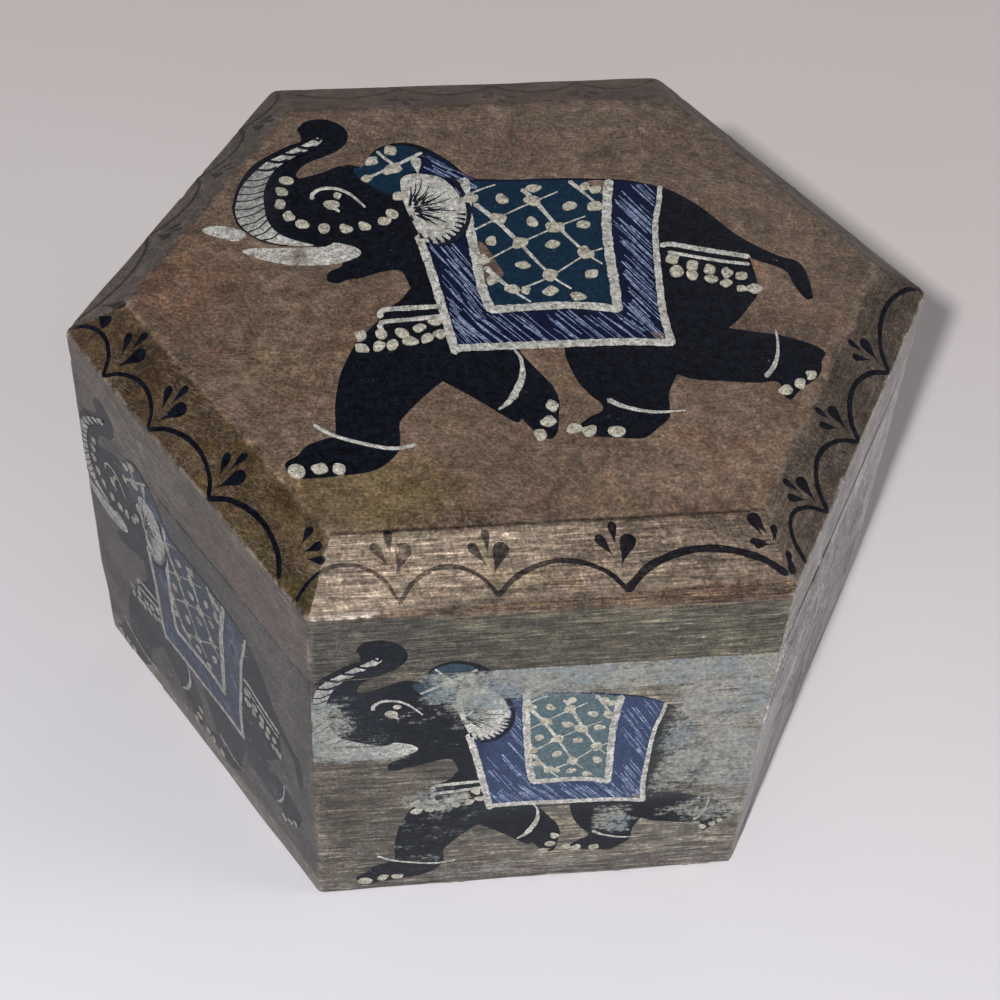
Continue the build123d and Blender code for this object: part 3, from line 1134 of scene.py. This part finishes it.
# Each side: the colours of its bevel, of the lid's band and of the wall below; how grainy bevel and
# wall are; how veiled the wall's paint is; how worn the paint is; how much whitish paint is rubbed on
BACK_LOOKS = dict(bevel_grain=0.3, wall_grain=0.6, veil=0.25, bevel_fade=0.7, wall_fade=0.2, smear=0.42)
SIDE_LOOKS = {
    # The left front's wall is far darker than the other walls: painted shade that keeps this side as dark
    # as the front under the stronger light and glare it takes
    "left_front": dict(bevel=(68, 52, 32), band=(60, 52, 47), wall=(42, 41, 41), bevel_grain=0.1,
                       wall_grain=0.6, veil=0.72, bevel_fade=0, wall_fade=0.12, smear=0.2),
    "front": dict(bevel=(132, 117, 102), band=(71, 68, 56), wall=(71, 66, 58), bevel_grain=0.7,
                  wall_grain=1.0, veil=0, bevel_fade=0.05, wall_fade=0, smear=0),
    # The right front's pale grey band and wall, and the grey veil over its paint, are in part a painted
    # reflection: the glare of the bright floor seen at a grazing angle
    "right_front": dict(bevel=(63, 53, 46), band=(136, 132, 130), wall=(151, 147, 149), bevel_grain=0.45,
                        wall_grain=0.4, veil=0.6, bevel_fade=0.02, wall_fade=0.8, smear=0.42),
    "right_back": dict(BACK_LOOKS, bevel=(62, 51, 44), band=(76, 67, 58), wall=(78, 69, 60)),
    "back": dict(BACK_LOOKS, bevel=(75, 61, 54), band=(74, 67, 57), wall=(74, 68, 59)),
    "left_back": dict(BACK_LOOKS, bevel=(78, 70, 66), band=(72, 67, 60), wall=(73, 67, 61),
                      bevel_grain=0.2, bevel_fade=0.32),
}


def linear(red, green, blue):
    """A colour as seen on a screen, 0 to 255, as the linear colour that a shader takes."""
    channels = []
    for value in (red, green, blue):
        share = value / 255
        channels.append(share / 12.92 if share <= 0.04045 else ((share + 0.055) / 1.055) ** 2.4)
    return (*channels, 1.0)


def box_patch(u, v, left, right, low, high, soft):
    """1 inside an upright rectangle, falling to 0 across its soft border."""
    across = np.minimum(rise(u, left - soft, left + soft), rise(u, right + soft, right - soft))
    upward = np.minimum(rise(v, low - soft, low + soft), rise(v, high + soft, high - soft))
    return np.minimum(across, upward)


def oval_patch(u, v, middle, reach):
    """1 at the middle of an oval patch, falling softly to 0 at its reach."""
    return np.clip(1.6 - 1.6 * np.hypot((u - middle[0]) / reach[0], (v - middle[1]) / reach[1]), 0, 1)


class Looks:
    """What the materials need to know at each point of a piece: a tint, and amounts from 0 to 1."""

    def __init__(self, points, normals):
        self.points = points
        self.x, self.y, self.height = points.T
        up = normals[:, 2]
        self.nearest = np.stack([normals @ outward(side) for side in range(6)], axis=1).argmax(axis=1)
        self.past_ridge = np.max([points @ outward(side) - (outside_apothem - BEVEL_INSET[side])
                                  for side in range(6)], axis=0)
        self.on_top = rise(up, 0.55, 0.7) * rise(self.height, arris_height - 2, arris_height - 1)
        wander = self.past_ridge + 0.3 * wobble(points, 5, 77) + 0.25 * wobble(points, 1.6, 78)
        self.panel = self.on_top * rise(-wander, -0.3, 0.15)
        self.bevels = self.on_top * (1 - self.panel)
        self.ridges = self.on_top * (1 - rise(np.abs(self.past_ridge), 0.1, 0.3))
        self.walls = (1 - self.on_top) * np.maximum(rise(up, -0.7, -0.5), rise(self.height, 30, 32))
        self.above_joint = rise(self.height, joint_height - 0.1, joint_height + 0.1)
        self.underside = rise(-up, 0.5, 0.7)
        self.tint = np.tile(np.array(linear(*PANEL_COLOUR)[:3]), (len(points), 1))
        self.grain_place = points.copy()
        self.amounts = {"grainy": np.full(len(points), 0.08)}
        for name in ("smear", "veil", "tinge", "fade", "stain"):
            self.amounts[name] = np.zeros(len(points))

    def turn_to(self, side):
        """Take up one side: places u along it, and the parts of it that carry their own colours."""
        self.u = self.points @ along(side)
        self.here = self.nearest == side
        self.bevel = self.bevels * self.here
        self.ridge = self.ridges * self.here
        self.wall = self.walls * self.here
        self.band = self.wall * self.above_joint
        self.below_joint = self.wall * (1 - self.above_joint)

    def wash(self, share, colour):
        """Move the tint towards one colour."""
        self.tint += share[:, None] * (np.array(linear(*colour)[:3]) - self.tint)

    def add(self, name, amount):
        self.amounts[name] += amount

    def waves(self, length, seed, base=0.0):
        """Clouds of the given length, from 0 to 1."""
        return np.clip(base + wobble(self.points, length, seed), 0, 1)


def panel_looks(looks):
    """Warmer and darker areas of the top panel, painted shade towards its back, its blots, and where the
    paint on it is worn.
    """
    x, y = looks.x, looks.y
    looks.wash(0.6 * oval_patch(x, y, (-18, -30), (14, 8)), (106, 92, 58))
    looks.wash(0.5 * oval_patch(x, y, (-38, 4), (10, 12)), (104, 74, 58))
    looks.wash(0.5 * oval_patch(x, y, (12, -28), (18, 9)), (118, 99, 83))
    # Painted shade: the panel darker towards its back
    looks.wash(0.5 * rise(y, 5, 36), (96, 82, 74))
    looks.wash(0.4 * oval_patch(x, y, (-30, -12), (12, 9)), (96, 80, 66))
    looks.wash(0.7 * rise(looks.points @ outward(RIGHT_BACK), 31, 40), (80, 66, 57))
    looks.add("stain", looks.panel * oval_patch(x, y, (-9, -34.2), (7, 2.2)))
    looks.add("stain", 0.7 * looks.panel * oval_patch(x, y, (30, -9), (6, 5)))
    looks.add("fade", 0.8 * looks.panel * oval_patch(x, y, (-23.4, 6.9), (1.7, 2.4)))
    looks.add("veil", 0.75 * looks.panel * oval_patch(x, y, (-28.5, 18.5), (4.6, 10)))


def front_bevel(looks):
    """Darker to the right, a dark line along the ridge, a blot, and paint worn to the left."""
    u = looks.u
    looks.wash(looks.bevel * rise(u, -8, 22), (96, 82, 70))
    looks.wash(0.95 * looks.ridge, (46, 37, 30))
    looks.add("fade", 0.28 * looks.bevel * rise(-u, -6, 16))
    looks.add("stain", looks.bevel * oval_patch(u, looks.height, (3.5, 54.6), (5, 0.8)))


def front_band(looks):
    """Darker towards the left corner and in one area to the right."""
    darker = 0.6 * oval_patch(looks.u, looks.height, (8, 46), (12, 4))
    darker = np.maximum(darker, 1.5 * rise(looks.u, -2, -18))
    looks.wash(0.5 * looks.band * darker, (46, 46, 42))


def front_smear(u, height):
    """Where whitish paint has been rubbed over the front: along the joint, the rump, a leg, the trunk."""
    past_cloth = u - 0.08 * (height - 16)
    return np.max([
        box_patch(u, height, -13, 30, 37.2, 45, 1.6),
        0.9 * box_patch(past_cloth, height, 12.8, 40, 17, 41, 1),
        0.9 * oval_patch(u, height, (21, 13), (8, 5)),
        0.9 * box_patch(u, height, 6.8, 11.6, 9.6, 15.4, 0.4),
        oval_patch(u, height, (-7.5, 37), (6, 4.6)),
        0.95 * box_patch(u, height, -26, -15, 27.4, 30, 0.8),
        0.85 * box_patch(u, height, -26, -20.5, 28, 39, 1.2),
        0.8 * oval_patch(u, height, (-11, 19), (7, 4)),
        0.6 * oval_patch(u, height, (-14, 6.6), (6, 1.6)),
        0.42 * oval_patch(u, height, (0, 3), (16, 3)),
        0.3 * oval_patch(u, height, (-13, 12), (16, 14)),
        0.22 * oval_patch(u, height, (-14, 32), (12, 8)),
    ], axis=0)


def front_wall(looks):
    """Lighter to the right, rubbed with whitish paint, with a dressed strip and a pale patch on its
    arris, partly chipped stone and partly a painted glint.
    """
    u, height, wall = looks.u, looks.height, looks.wall
    looks.wash(looks.below_joint * rise(u, -16, 10), (98, 93, 84))
    normal, offset = front_strip
    strip = looks.here * rise(looks.points @ normal - offset, -0.2, -0.08)
    looks.wash(strip * rise(height, arris_height - 2.6, arris_height - 2.3), (76, 60, 47))
    # A pale patch at the left of the front arris: chipped stone, and in part a painted glint on the
    # corner
    chip_and_glint = box_patch(u, height, -26, -17, arris_height - 0.45, arris_height + 0.02, 0.12)
    chip_and_glint *= np.clip(0.5 + 0.9 * wobble(looks.points, 1.5, 95), 0, 1)
    looks.wash(looks.here * chip_and_glint, (176, 164, 150))
    looks.add("smear", looks.below_joint * front_smear(u, height))
    looks.add("tinge", wall * (0.3 + box_patch(u, height, -6, 30, 16, 40, 2)))
    looks.add("veil", 0.6 * wall * box_patch(u, height, -27, -17, 22, 44, 2))
    looks.add("fade", 0.55 * wall * box_patch(u, height, 14, 30, 17, 36, 1.5))


def left_front_bevel(looks):
    """Olive, darker to the right, with umber and pale clouds and a pale ridge line."""
    looks.wash(looks.bevel * rise(looks.u, -2, 22), (60, 48, 25))
    looks.wash(0.5 * looks.ridge, (128, 108, 88))
    looks.add("stain", 0.3 * looks.bevel)
    olive = looks.waves(9, 81, 0.3) * rise(looks.u, -10, 12)
    looks.wash(0.5 * looks.bevel * olive, (76, 64, 34))
    looks.wash(0.6 * looks.bevel * looks.waves(5, 82), (60, 46, 34))
    looks.wash(0.3 * looks.bevel * looks.waves(6, 83), (104, 88, 66))


def left_front_band(looks):
    """Ruddy to the right and paler to the left."""
    ruddy = oval_patch(looks.u, looks.height, (12, 46.5), (14, 3.5))
    looks.wash(0.7 * looks.band * ruddy, (72, 50, 46))
    paler = oval_patch(looks.u, looks.height, (-8, 47), (12, 4))
    looks.wash(0.6 * looks.band * paler, (70, 66, 56))


def right_front_wall(looks):
    """Bevel lighter to the left, a pale ridge line, a darker lower wall, and shade in the joint."""
    u, height = looks.u, looks.height
    looks.wash(0.9 * looks.bevel * rise(-u, 8, 20), (84, 71, 63))
    looks.wash(0.45 * looks.ridge, (104, 92, 82))
    looks.wash(0.9 * looks.wall * rise(-height, -24, -8), (112, 108, 108))
    in_joint = 1 - rise(np.abs(height - joint_height), 0.4, 0.75)
    in_joint *= np.minimum(rise(u, -24, -17), rise(u, 23, 16))
    looks.wash(0.95 * looks.wall * in_joint, (10, 9, 10))
    looks.amounts["smear"] *= 1 - looks.here * in_joint


# What some sides have besides their colours, each put on right after the part's own colour
DETAILS = {
    ("front", "bevel"): front_bevel,
    ("front", "band"): front_band,
    ("front", "wall"): front_wall,
    ("left_front", "bevel"): left_front_bevel,
    ("left_front", "band"): left_front_band,
    ("right_front", "wall"): right_front_wall,
}


def side_looks(looks, side):
    """One bevel, the band below it and the wall, in their colours, wear and grain."""
    name = SIDES[side]
    own = SIDE_LOOKS[name]
    looks.turn_to(side)
    looks.add("veil", own["veil"] * looks.wall)
    looks.add("fade", own["bevel_fade"] * looks.bevel + own["wall_fade"] * looks.wall)
    clouds = 0.6 + 0.6 * wobble(looks.points, 13, 300 + side)
    looks.add("smear", own["smear"] * clouds * looks.below_joint)
    for part, share in (("bevel", looks.bevel), ("band", looks.band), ("wall", looks.below_joint)):
        looks.wash(share, own[part])
        if (name, part) in DETAILS:
            DETAILS[name, part](looks)
    at_foot = rise(-looks.height, -foot_bevel_height - 0.3, -foot_bevel_height + 0.3)
    looks.wash(looks.wall * at_foot, FOOT_COLOUR)
    beside = looks.here & (looks.panel < 0.5)
    across_grain = looks.height - 0.8 * looks.points @ outward(side)
    looks.grain_place[beside, 0] = looks.u[beside]
    looks.grain_place[beside, 1] = across_grain[beside]
    looks.grain_place[beside, 2] = 2.7 * side
    grain = np.where(looks.on_top > 0.5, own["bevel_grain"], own["wall_grain"])
    looks.amounts["grainy"][beside] = grain[beside]


def region_looks(points, normals, inside):
    """The looks of the stone at each point; inside is 1 in the cavity and on the plug."""
    looks = Looks(points, normals)
    panel_looks(looks)
    for side in range(6):
        side_looks(looks, side)
    looks.wash(looks.underside, UNDERSIDE_COLOUR)
    looks.wash(inside, INSIDE_COLOUR)
    looks.amounts["smear"] *= 1 - inside
    return looks


def is_inside_box(points):
    """1 for the cavity and the plug, which were never painted or handled as much."""
    within = rise(hexagon_distance(points, cavity_apothem, cavity_corner_radius), 0.9, 0.5)
    return within * rise(points[:, 2], joint_height + 0.6, joint_height + 0.4) * rise(points[:, 2], 3, 5)


def add_regions(piece, field):
    """Store what the materials need to know at each point of a piece."""
    mesh = piece.data
    count = len(mesh.vertices)
    points = np.empty(count * 3)
    mesh.vertices.foreach_get("co", points)
    points = points.reshape(-1, 3) / METRES
    here = field(points)
    reach = 0.3
    ahead = np.empty_like(points)
    behind = np.empty_like(points)
    for axis in range(3):
        step = np.zeros(3)
        step[axis] = reach
        ahead[:, axis] = field(points + step)
        behind[:, axis] = field(points - step)
    normals = (ahead - behind) / (2 * reach)
    normals /= np.maximum(np.linalg.norm(normals, axis=1), 1e-9)[:, None]
    bend = (ahead + behind - 2 * here[:, None]).sum(axis=1)
    # Pale convex edges: stone rubbed pale, and in part a painted glint along the arrises
    rub_and_glint = np.clip(bend / 0.35 - 0.25, 0, 1) * rise(np.abs(points[:, 2] - joint_height), 0.6, 1.2)
    inside = is_inside_box(points)
    looks = region_looks(points, normals, inside)
    looks.amounts["rub_and_glint"] = rub_and_glint
    looks.amounts["inside"] = inside
    colours = np.column_stack([looks.tint, np.ones(count)])
    stored = [("tint", "FLOAT_COLOR", "color", colours)]
    stored.append(("grain_place", "FLOAT_VECTOR", "vector", looks.grain_place))
    stored += [(name, "FLOAT", "value", np.clip(amount, 0, 1)) for name, amount in looks.amounts.items()]
    for name, kind, field_name, numbers in stored:
        attribute = mesh.attributes.new(name, kind, "POINT")
        attribute.data.foreach_set(field_name, numbers.astype(np.float32).ravel())


# Materials
class Nodes:
    """Short ways to add shader nodes to one tree and link them."""

    def __init__(self, tree):
        self.tree = tree

    def add(self, kind, inputs, **settings):
        """A new node with its inputs, by name or number, and its settings."""
        node = self.tree.nodes.new("ShaderNode" + kind)
        for name, value in settings.items():
            setattr(node, name, value)
        for socket, value in inputs.items():
            self.put(node.inputs[socket], value)
        return node

    def put(self, socket, value):
        """Set a socket to a constant, or link it; a name stands for what each point stores by it."""
        if isinstance(value, str):
            value = self.add("Attribute", {}, attribute_name=value).outputs["Fac"]
        if isinstance(value, bpy.types.NodeSocket):
            self.tree.links.new(value, socket)
        else:
            socket.default_value = value

    def math(self, operation, a, b=0.0):
        return self.add("Math", {0: a, 1: b}, operation=operation).outputs[0]

    def times(self, *values):
        return reduce(lambda a, b: self.math("MULTIPLY", a, b), values)

    def plus(self, *values):
        return reduce(lambda a, b: self.math("ADD", a, b), values)

    def minus(self, a, b):
        return self.math("SUBTRACT", a, b)

    def bigger(self, a, b):
        return self.math("MAXIMUM", a, b)

    def mix(self, share, a, b):
        """Two colours, the second by its share."""
        return self.add("Mix", {0: share, 6: a, 7: b}, data_type="RGBA").outputs[2]

    def mix_value(self, share, a, b):
        return self.add("Mix", {0: share, 2: a, 3: b}, data_type="FLOAT").outputs[0]

    def shade(self, colour, factor):
        """A colour made lighter or darker by a factor."""
        return self.add("VectorMath", {0: colour, "Scale": factor}, operation="SCALE").outputs[0]

    def vary(self, colour, swing):
        """A colour made darker where the swing is below 0 and lighter where it is above."""
        return self.shade(colour, self.math("EXPONENT", swing))

    def darken(self, colour, share, factor):
        return self.shade(colour, self.mix_value(share, 1.0, factor))

    def toned(self, colour, tone):
        """A colour with its red, green and blue each multiplied."""
        return self.add("VectorMath", {0: colour, 1: tone}, operation="MULTIPLY").outputs[0]

    def ramp(self, value, low, high):
        """0 below low, 1 above high, smooth between."""
        inputs = {0: value, 1: low, 2: high}
        return self.add("MapRange", inputs, interpolation_type="SMOOTHSTEP").outputs[0]

    def noise(self, place, size, detail=4.0, roughness=0.55, distortion=0.0):
        """Noise whose features are about size millimetres."""
        inputs = {"Vector": place, "Scale": 1 / size, "Detail": detail, "Roughness": roughness,
                  "Distortion": distortion}
        return self.add("TexNoise", inputs).outputs["Fac"]

    def stretch(self, place, scale):
        return self.add("Mapping", {"Vector": place, "Scale": scale}).outputs[0]

    def turned(self, place, turn):
        return self.add("Mapping", {"Vector": place, "Rotation": turn}).outputs[0]

    def swing(self, value, amount):
        """Noise as a part of a swing: 0 where it is 0.5."""
        return self.times(self.minus(value, 0.5), amount)

    def millimetres(self):
        """Object coordinates in millimetres."""
        return self.stretch(self.add("TexCoord", {}).outputs["Object"], (1 / METRES,) * 3)

    def grain_place(self):
        """Coordinates that run level along each side, for grain and rubbing marks."""
        return self.add("Attribute", {}, attribute_name="grain_place").outputs["Vector"]


def scratches(nodes, place, turns, length, width, share, size):
    """Fine hairlines in several directions, broken up so that they come and go."""
    marks = []
    for k, turn in enumerate(turns):
        lengthwise = nodes.stretch(nodes.turned(place, (0, 0, turn)), (1 / length, 1 / width, 1 / width))
        lines = nodes.ramp(nodes.noise(lengthwise, 1, 1, 0.5), share, share + 0.07)
        patches = nodes.ramp(nodes.noise(nodes.turned(place, (0, 0, k + 1)), size, 2), 0.48, 0.6)
        marks.append(nodes.times(lines, patches))
    return reduce(nodes.bigger, marks)


def stone_group():
    """Soapstone: its colour, roughness and fine relief, from the place and what each point stores."""
    group = bpy.data.node_groups.new("soapstone", "ShaderNodeTree")
    nodes = Nodes(group)
    place = nodes.millimetres()
    grain_place = nodes.grain_place()

    # Brightness: clouds, mottling, fine grit and level grain
    mottle = nodes.noise(place, 1.7, 6, 0.72, 0.5)
    fine = nodes.noise(place, 0.38, 3, 0.75)
    grain = nodes.noise(nodes.stretch(grain_place, (0.16, 1.9, 1)), 1, 4, 0.65, 0.35)
    thread = nodes.noise(nodes.stretch(grain_place, (0.3, 4.5, 1)), 1, 3, 0.6, 0.2)
    swing = nodes.plus(
        nodes.swing(nodes.noise(place, 11, 4, 0.6, 0.8), 1.4),
        nodes.swing(mottle, 3.2),
        nodes.swing(fine, 3.6),
        nodes.times("grainy", nodes.swing(grain, 4.4)),
        nodes.times("grainy", nodes.swing(thread, 4.6)),
    )

    # Reddish and greenish clouds
    tint = nodes.add("Attribute", {}, attribute_name="tint").outputs["Color"]
    red = nodes.ramp(nodes.noise(place, 5, 5, 0.7, 0.8), 0.53, 0.7)
    redness = nodes.minus(0.6, nodes.times("grainy", 0.4))
    tint = nodes.mix(nodes.times(red, redness), tint, nodes.toned(tint, (1.25, 0.88, 0.76)))
    green = nodes.ramp(nodes.noise(nodes.turned(place, (0.7, 0.5, 0)), 7, 4, 0.65, 0.6), 0.52, 0.68)
    tint = nodes.mix(nodes.times(green, 0.5), tint, nodes.toned(tint, (1.0, 1.04, 0.78)))
    colour = nodes.vary(tint, swing)

    # Dark specks, pale scrapes and flecks, and fine scratches
    speck = nodes.ramp(nodes.noise(place, 0.7, 4, 0.75), 0.60, 0.70)
    colour = nodes.darken(colour, nodes.times(speck, 0.2), 0.4)
    scrape_place = nodes.stretch(nodes.turned(place, (0, 0, 0.5)), (0.55, 2.6, 1))
    scrape = nodes.ramp(nodes.noise(scrape_place, 1, 4, 0.7, 0.6), 0.58, 0.7)
    colour = nodes.mix(nodes.times(scrape, 0.22), colour, linear(150, 132, 118))
    fleck = nodes.ramp(nodes.noise(nodes.turned(place, (0.4, 0.2, 0.3)), 0.55, 3, 0.7), 0.67, 0.76)
    colour = nodes.mix(nodes.times(fleck, 0.5), colour, linear(176, 160, 144))
    hair = scratches(nodes, place, [0.3, 1.25, 2.2, 2.9], 7, 0.13, 0.63, 9)
    scuff = scratches(nodes, place, [0.12, 0.75], 2.2, 0.2, 0.56, 6)
    lines = nodes.bigger(nodes.times(hair, 0.26), nodes.times(scuff, 0.22))
    colour = nodes.mix(lines, colour, linear(164, 146, 130))

    # Dark stains, and edges rubbed pale, the pale edges partly a painted glint along the arrises
    blot = nodes.ramp(nodes.noise(nodes.turned(place, (0.1, 0.6, 0.9)), 1.6, 5, 0.8, 1.2), 0.47, 0.56)
    colour = nodes.darken(colour, nodes.times("stain", blot), 0.42)
    rub_and_glint = nodes.times("rub_and_glint", nodes.ramp(mottle, 0.38, 0.6))
    colour = nodes.mix(nodes.times(rub_and_glint, 0.6), colour, linear(172, 156, 140))

    rough = nodes.mix_value(nodes.ramp(fine, 0.3, 0.7), 0.32, 0.5)
    rough = nodes.plus(rough, nodes.times("inside", 0.2))
    raised = nodes.plus(nodes.times(fine, 0.6), nodes.times("grainy", grain, 0.9),
                        nodes.times(mottle, 0.5))
    relief = nodes.minus(raised, nodes.times(nodes.plus(hair, speck), 0.3))
    group_exit = group.nodes.new("NodeGroupOutput")
    for name, kind, value in (("Color", "Color", colour), ("Roughness", "Float", rough),
                              ("Height", "Float", relief)):
        group.interface.new_socket(name, in_out="OUTPUT", socket_type="NodeSocket" + kind)
        nodes.put(group_exit.inputs[name], value)
    return group


soapstone = stone_group()


def smear_over(nodes, place, colour):
    """Rubbed off whitish paint in speckles and level scratches over whatever is below."""
    grain_place = nodes.grain_place()
    streaks = nodes.noise(nodes.stretch(grain_place, (0.3, 4.0, 1)), 1, 4, 0.7, 0.2)
    specks = nodes.noise(place, 0.5, 4, 0.8)
    patches = nodes.noise(nodes.stretch(grain_place, (0.25, 0.45, 1)), 1, 5, 0.7, 0.6)
    total = nodes.plus(nodes.times(streaks, 0.4), nodes.times(specks, 0.5), nodes.times(patches, 0.6),
                       nodes.times("smear", 0.3))
    cold = nodes.ramp(nodes.noise(place, 5, 4), 0.42, 0.68)
    tint = nodes.mix(cold, linear(140, 140, 133), linear(120, 129, 132))
    tint = nodes.vary(tint, nodes.swing(specks, 3.0))
    return nodes.mix(nodes.times(nodes.ramp(total, 0.88, 1.06), 0.9), colour, tint)


def finish_material(name, paint=None, other=None, pits=0.66, roughness=0.4, veiled=1.0, tinged=0.0,
                    tinge_colour=(118, 138, 140)):
    """Bare stone, or a paint of two mingled colours that lets the stone through in its pits."""
    material = bpy.data.materials.new(name)
    material.use_nodes = True
    nodes = Nodes(material.node_tree)
    shader = material.node_tree.nodes["Principled BSDF"]
    shader.inputs["Specular IOR Level"].default_value = 0.35 if paint is None else 0.12
    place = nodes.millimetres()
    below = nodes.add("Group", {}, node_tree=soapstone)
    colour = below.outputs["Color"]
    rough = below.outputs["Roughness"]
    relief = below.outputs["Height"]
    if paint is not None:
        mingled = nodes.ramp(nodes.noise(place, 0.9, 5, 0.75, 0.6), 0.35, 0.65)
        coat = nodes.mix(mingled, linear(*paint), linear(*other))
        coat = nodes.mix(nodes.times("veil", veiled), coat, linear(66, 69, 78))
        coat = nodes.mix(nodes.times("tinge", tinged), coat, linear(*tinge_colour))
        coat = nodes.vary(coat, nodes.swing(nodes.noise(place, 0.28, 4, 0.8), 3.2))
        chips = nodes.noise(place, 0.6, 5, 0.8)
        pitted = nodes.times(nodes.ramp(chips, pits, pits + 0.06), 0.85)
        worn = nodes.times("fade", nodes.plus(1.0, nodes.swing(chips, 3.5)))
        gone = nodes.math("MINIMUM", nodes.bigger(pitted, worn), 1.0)
        colour = nodes.mix(gone, coat, colour)
        rough = nodes.mix_value(gone, roughness, rough)
        relief = nodes.times(nodes.minus(relief, gone), 0.5)
        relief = nodes.plus(relief, nodes.times(nodes.noise(place, 0.35, 3, 0.7), 0.9))
    bump = nodes.add("Bump", {"Strength": 0.5, "Distance": 0.00012, "Height": relief})
    nodes.put(shader.inputs["Normal"], bump.outputs[0])
    nodes.put(shader.inputs["Base Color"], smear_over(nodes, place, colour))
    nodes.put(shader.inputs["Roughness"], rough)
    return material


stone_material = finish_material("soapstone_worn")
PAINTS = {
    "navy": finish_material("paint_navy", (2, 3, 8), (18, 21, 33), 0.67, 0.33, 0.2, 0.06),
    "blue": finish_material("paint_blue", (14, 24, 58), (7, 13, 35), 0.66, 0.4, 0.9, 0.4, (80, 98, 134)),
    "teal": finish_material("paint_teal", (15, 44, 65), (11, 33, 51), 0.66, 0.4, 1.0, 0.47),
    "bare": stone_material,
    "hatch": finish_material("paint_pale_blue", (150, 163, 188), (76, 92, 130), 0.58, 0.5, 0.8),
    "white": finish_material("paint_white", (206, 204, 197), (142, 141, 136), 0.565, 0.5, 0.6),
    "dots": finish_material("paint_cream", (199, 195, 181), (140, 136, 121), 0.57, 0.5, 0.6),
    "ink": finish_material("paint_ink", (14, 15, 25), (30, 33, 46), 0.68, 0.45, 0.4),
}

for piece, body in ((lid, "lid"), (base, "base")):
    add_regions(piece, FIELDS[body])
    piece.data.materials.append(stone_material)

for (colour, body), coat in coats.items():
    if coat.count:
        piece = make_piece(body + "_paint_" + colour, np.concatenate(coat.points), coat.faces, body, 35)
        add_regions(piece, FIELDS[body])
        piece.data.materials.append(PAINTS[colour])

# Floor: pale paper, with painted shade that darkens it to the back and beyond the lamp
HALF_FLOOR = 2.5
floor_mesh = bpy.data.meshes.new("floor")
floor_corners = [(x * HALF_FLOOR, y * HALF_FLOOR, 0) for x, y in ((-1, -1), (1, -1), (1, 1), (-1, 1))]
floor_mesh.from_pydata(floor_corners, [], [(0, 1, 2, 3)])
floor = bpy.data.objects.new("floor", floor_mesh)
bpy.context.scene.collection.objects.link(floor)


def floor_material():
    material = bpy.data.materials.new("floor_paper")
    material.use_nodes = True
    nodes = Nodes(material.node_tree)
    place = nodes.millimetres()
    mottle = nodes.noise(place, 40, 3, 0.5)
    split = nodes.add("SeparateXYZ", {0: place})
    slant = nodes.plus(split.outputs["Y"], nodes.times(split.outputs["X"], 0.42))
    # Painted shade: the paper's colour falls off to the back and beyond the lamp, as the lamp's light
    # would
    front = nodes.mix(mottle, linear(241, 241, 250), linear(245, 245, 252))
    back = nodes.mix(mottle, linear(211, 202, 201), linear(215, 206, 205))
    colour = nodes.mix(nodes.ramp(slant, -160, 120), front, back)
    colour = nodes.mix(nodes.ramp(slant, -900, -160), linear(158, 155, 158), colour)
    shader = material.node_tree.nodes["Principled BSDF"]
    nodes.put(shader.inputs["Base Color"], colour)
    shader.inputs["Roughness"].default_value = 0.7
    return material


floor_mesh.materials.append(floor_material())


# Lights and camera
def soft_light(name, place, size, power):
    """A round area light turned to the middle of the box, sizes and places in metres."""
    data = bpy.data.lights.new(name, "AREA")
    data.shape = "DISK"
    data.size = size
    data.energy = power
    lamp = bpy.data.objects.new(name, data)
    bpy.context.scene.collection.objects.link(lamp)
    lamp.location = place
    way = Vector((0, 0, 0.03)) - Vector(place)
    lamp.rotation_euler = way.to_track_quat("-Z", "Y").to_euler()


soft_light("window", (-0.32, -0.657, 0.712), 0.045, 8.6)
soft_light("fill_right", (0.84, -0.2, 0.5), 0.5, 2.1)
soft_light("fill_back", (0.43, 0.75, 0.53), 0.5, 0.5)

world = bpy.data.worlds.new("room")
bpy.context.scene.world = world
world.use_nodes = True
background = world.node_tree.nodes["Background"]
background.inputs["Color"].default_value = (0.94, 0.93, 0.96, 1)
background.inputs["Strength"].default_value = 0.18

camera_data = bpy.data.cameras.new("camera")
camera_data.sensor_width = 36
camera_data.lens = 72.97
camera_data.clip_start = 0.01
camera = bpy.data.objects.new("camera", camera_data)
bpy.context.scene.collection.objects.link(camera)
# Its place, and where it looks and has its right, were fitted to the corners of the box in the photo
camera_place = (-0.02725, -0.16975, 0.21215)
looking = Vector((0.109, 0.659, -0.744)).normalized()
right_axis = Vector((0.992, -0.114, 0.045)).normalized()
right_axis = (right_axis - looking * right_axis.dot(looking)).normalized()
up_axis = right_axis.cross(looking)
turn = Matrix((right_axis, up_axis, -looking)).transposed()
camera.matrix_world = Matrix.Translation(camera_place) @ turn.to_4x4()
bpy.context.scene.camera = camera

bpy.context.scene.view_settings.view_transform = "Standard"
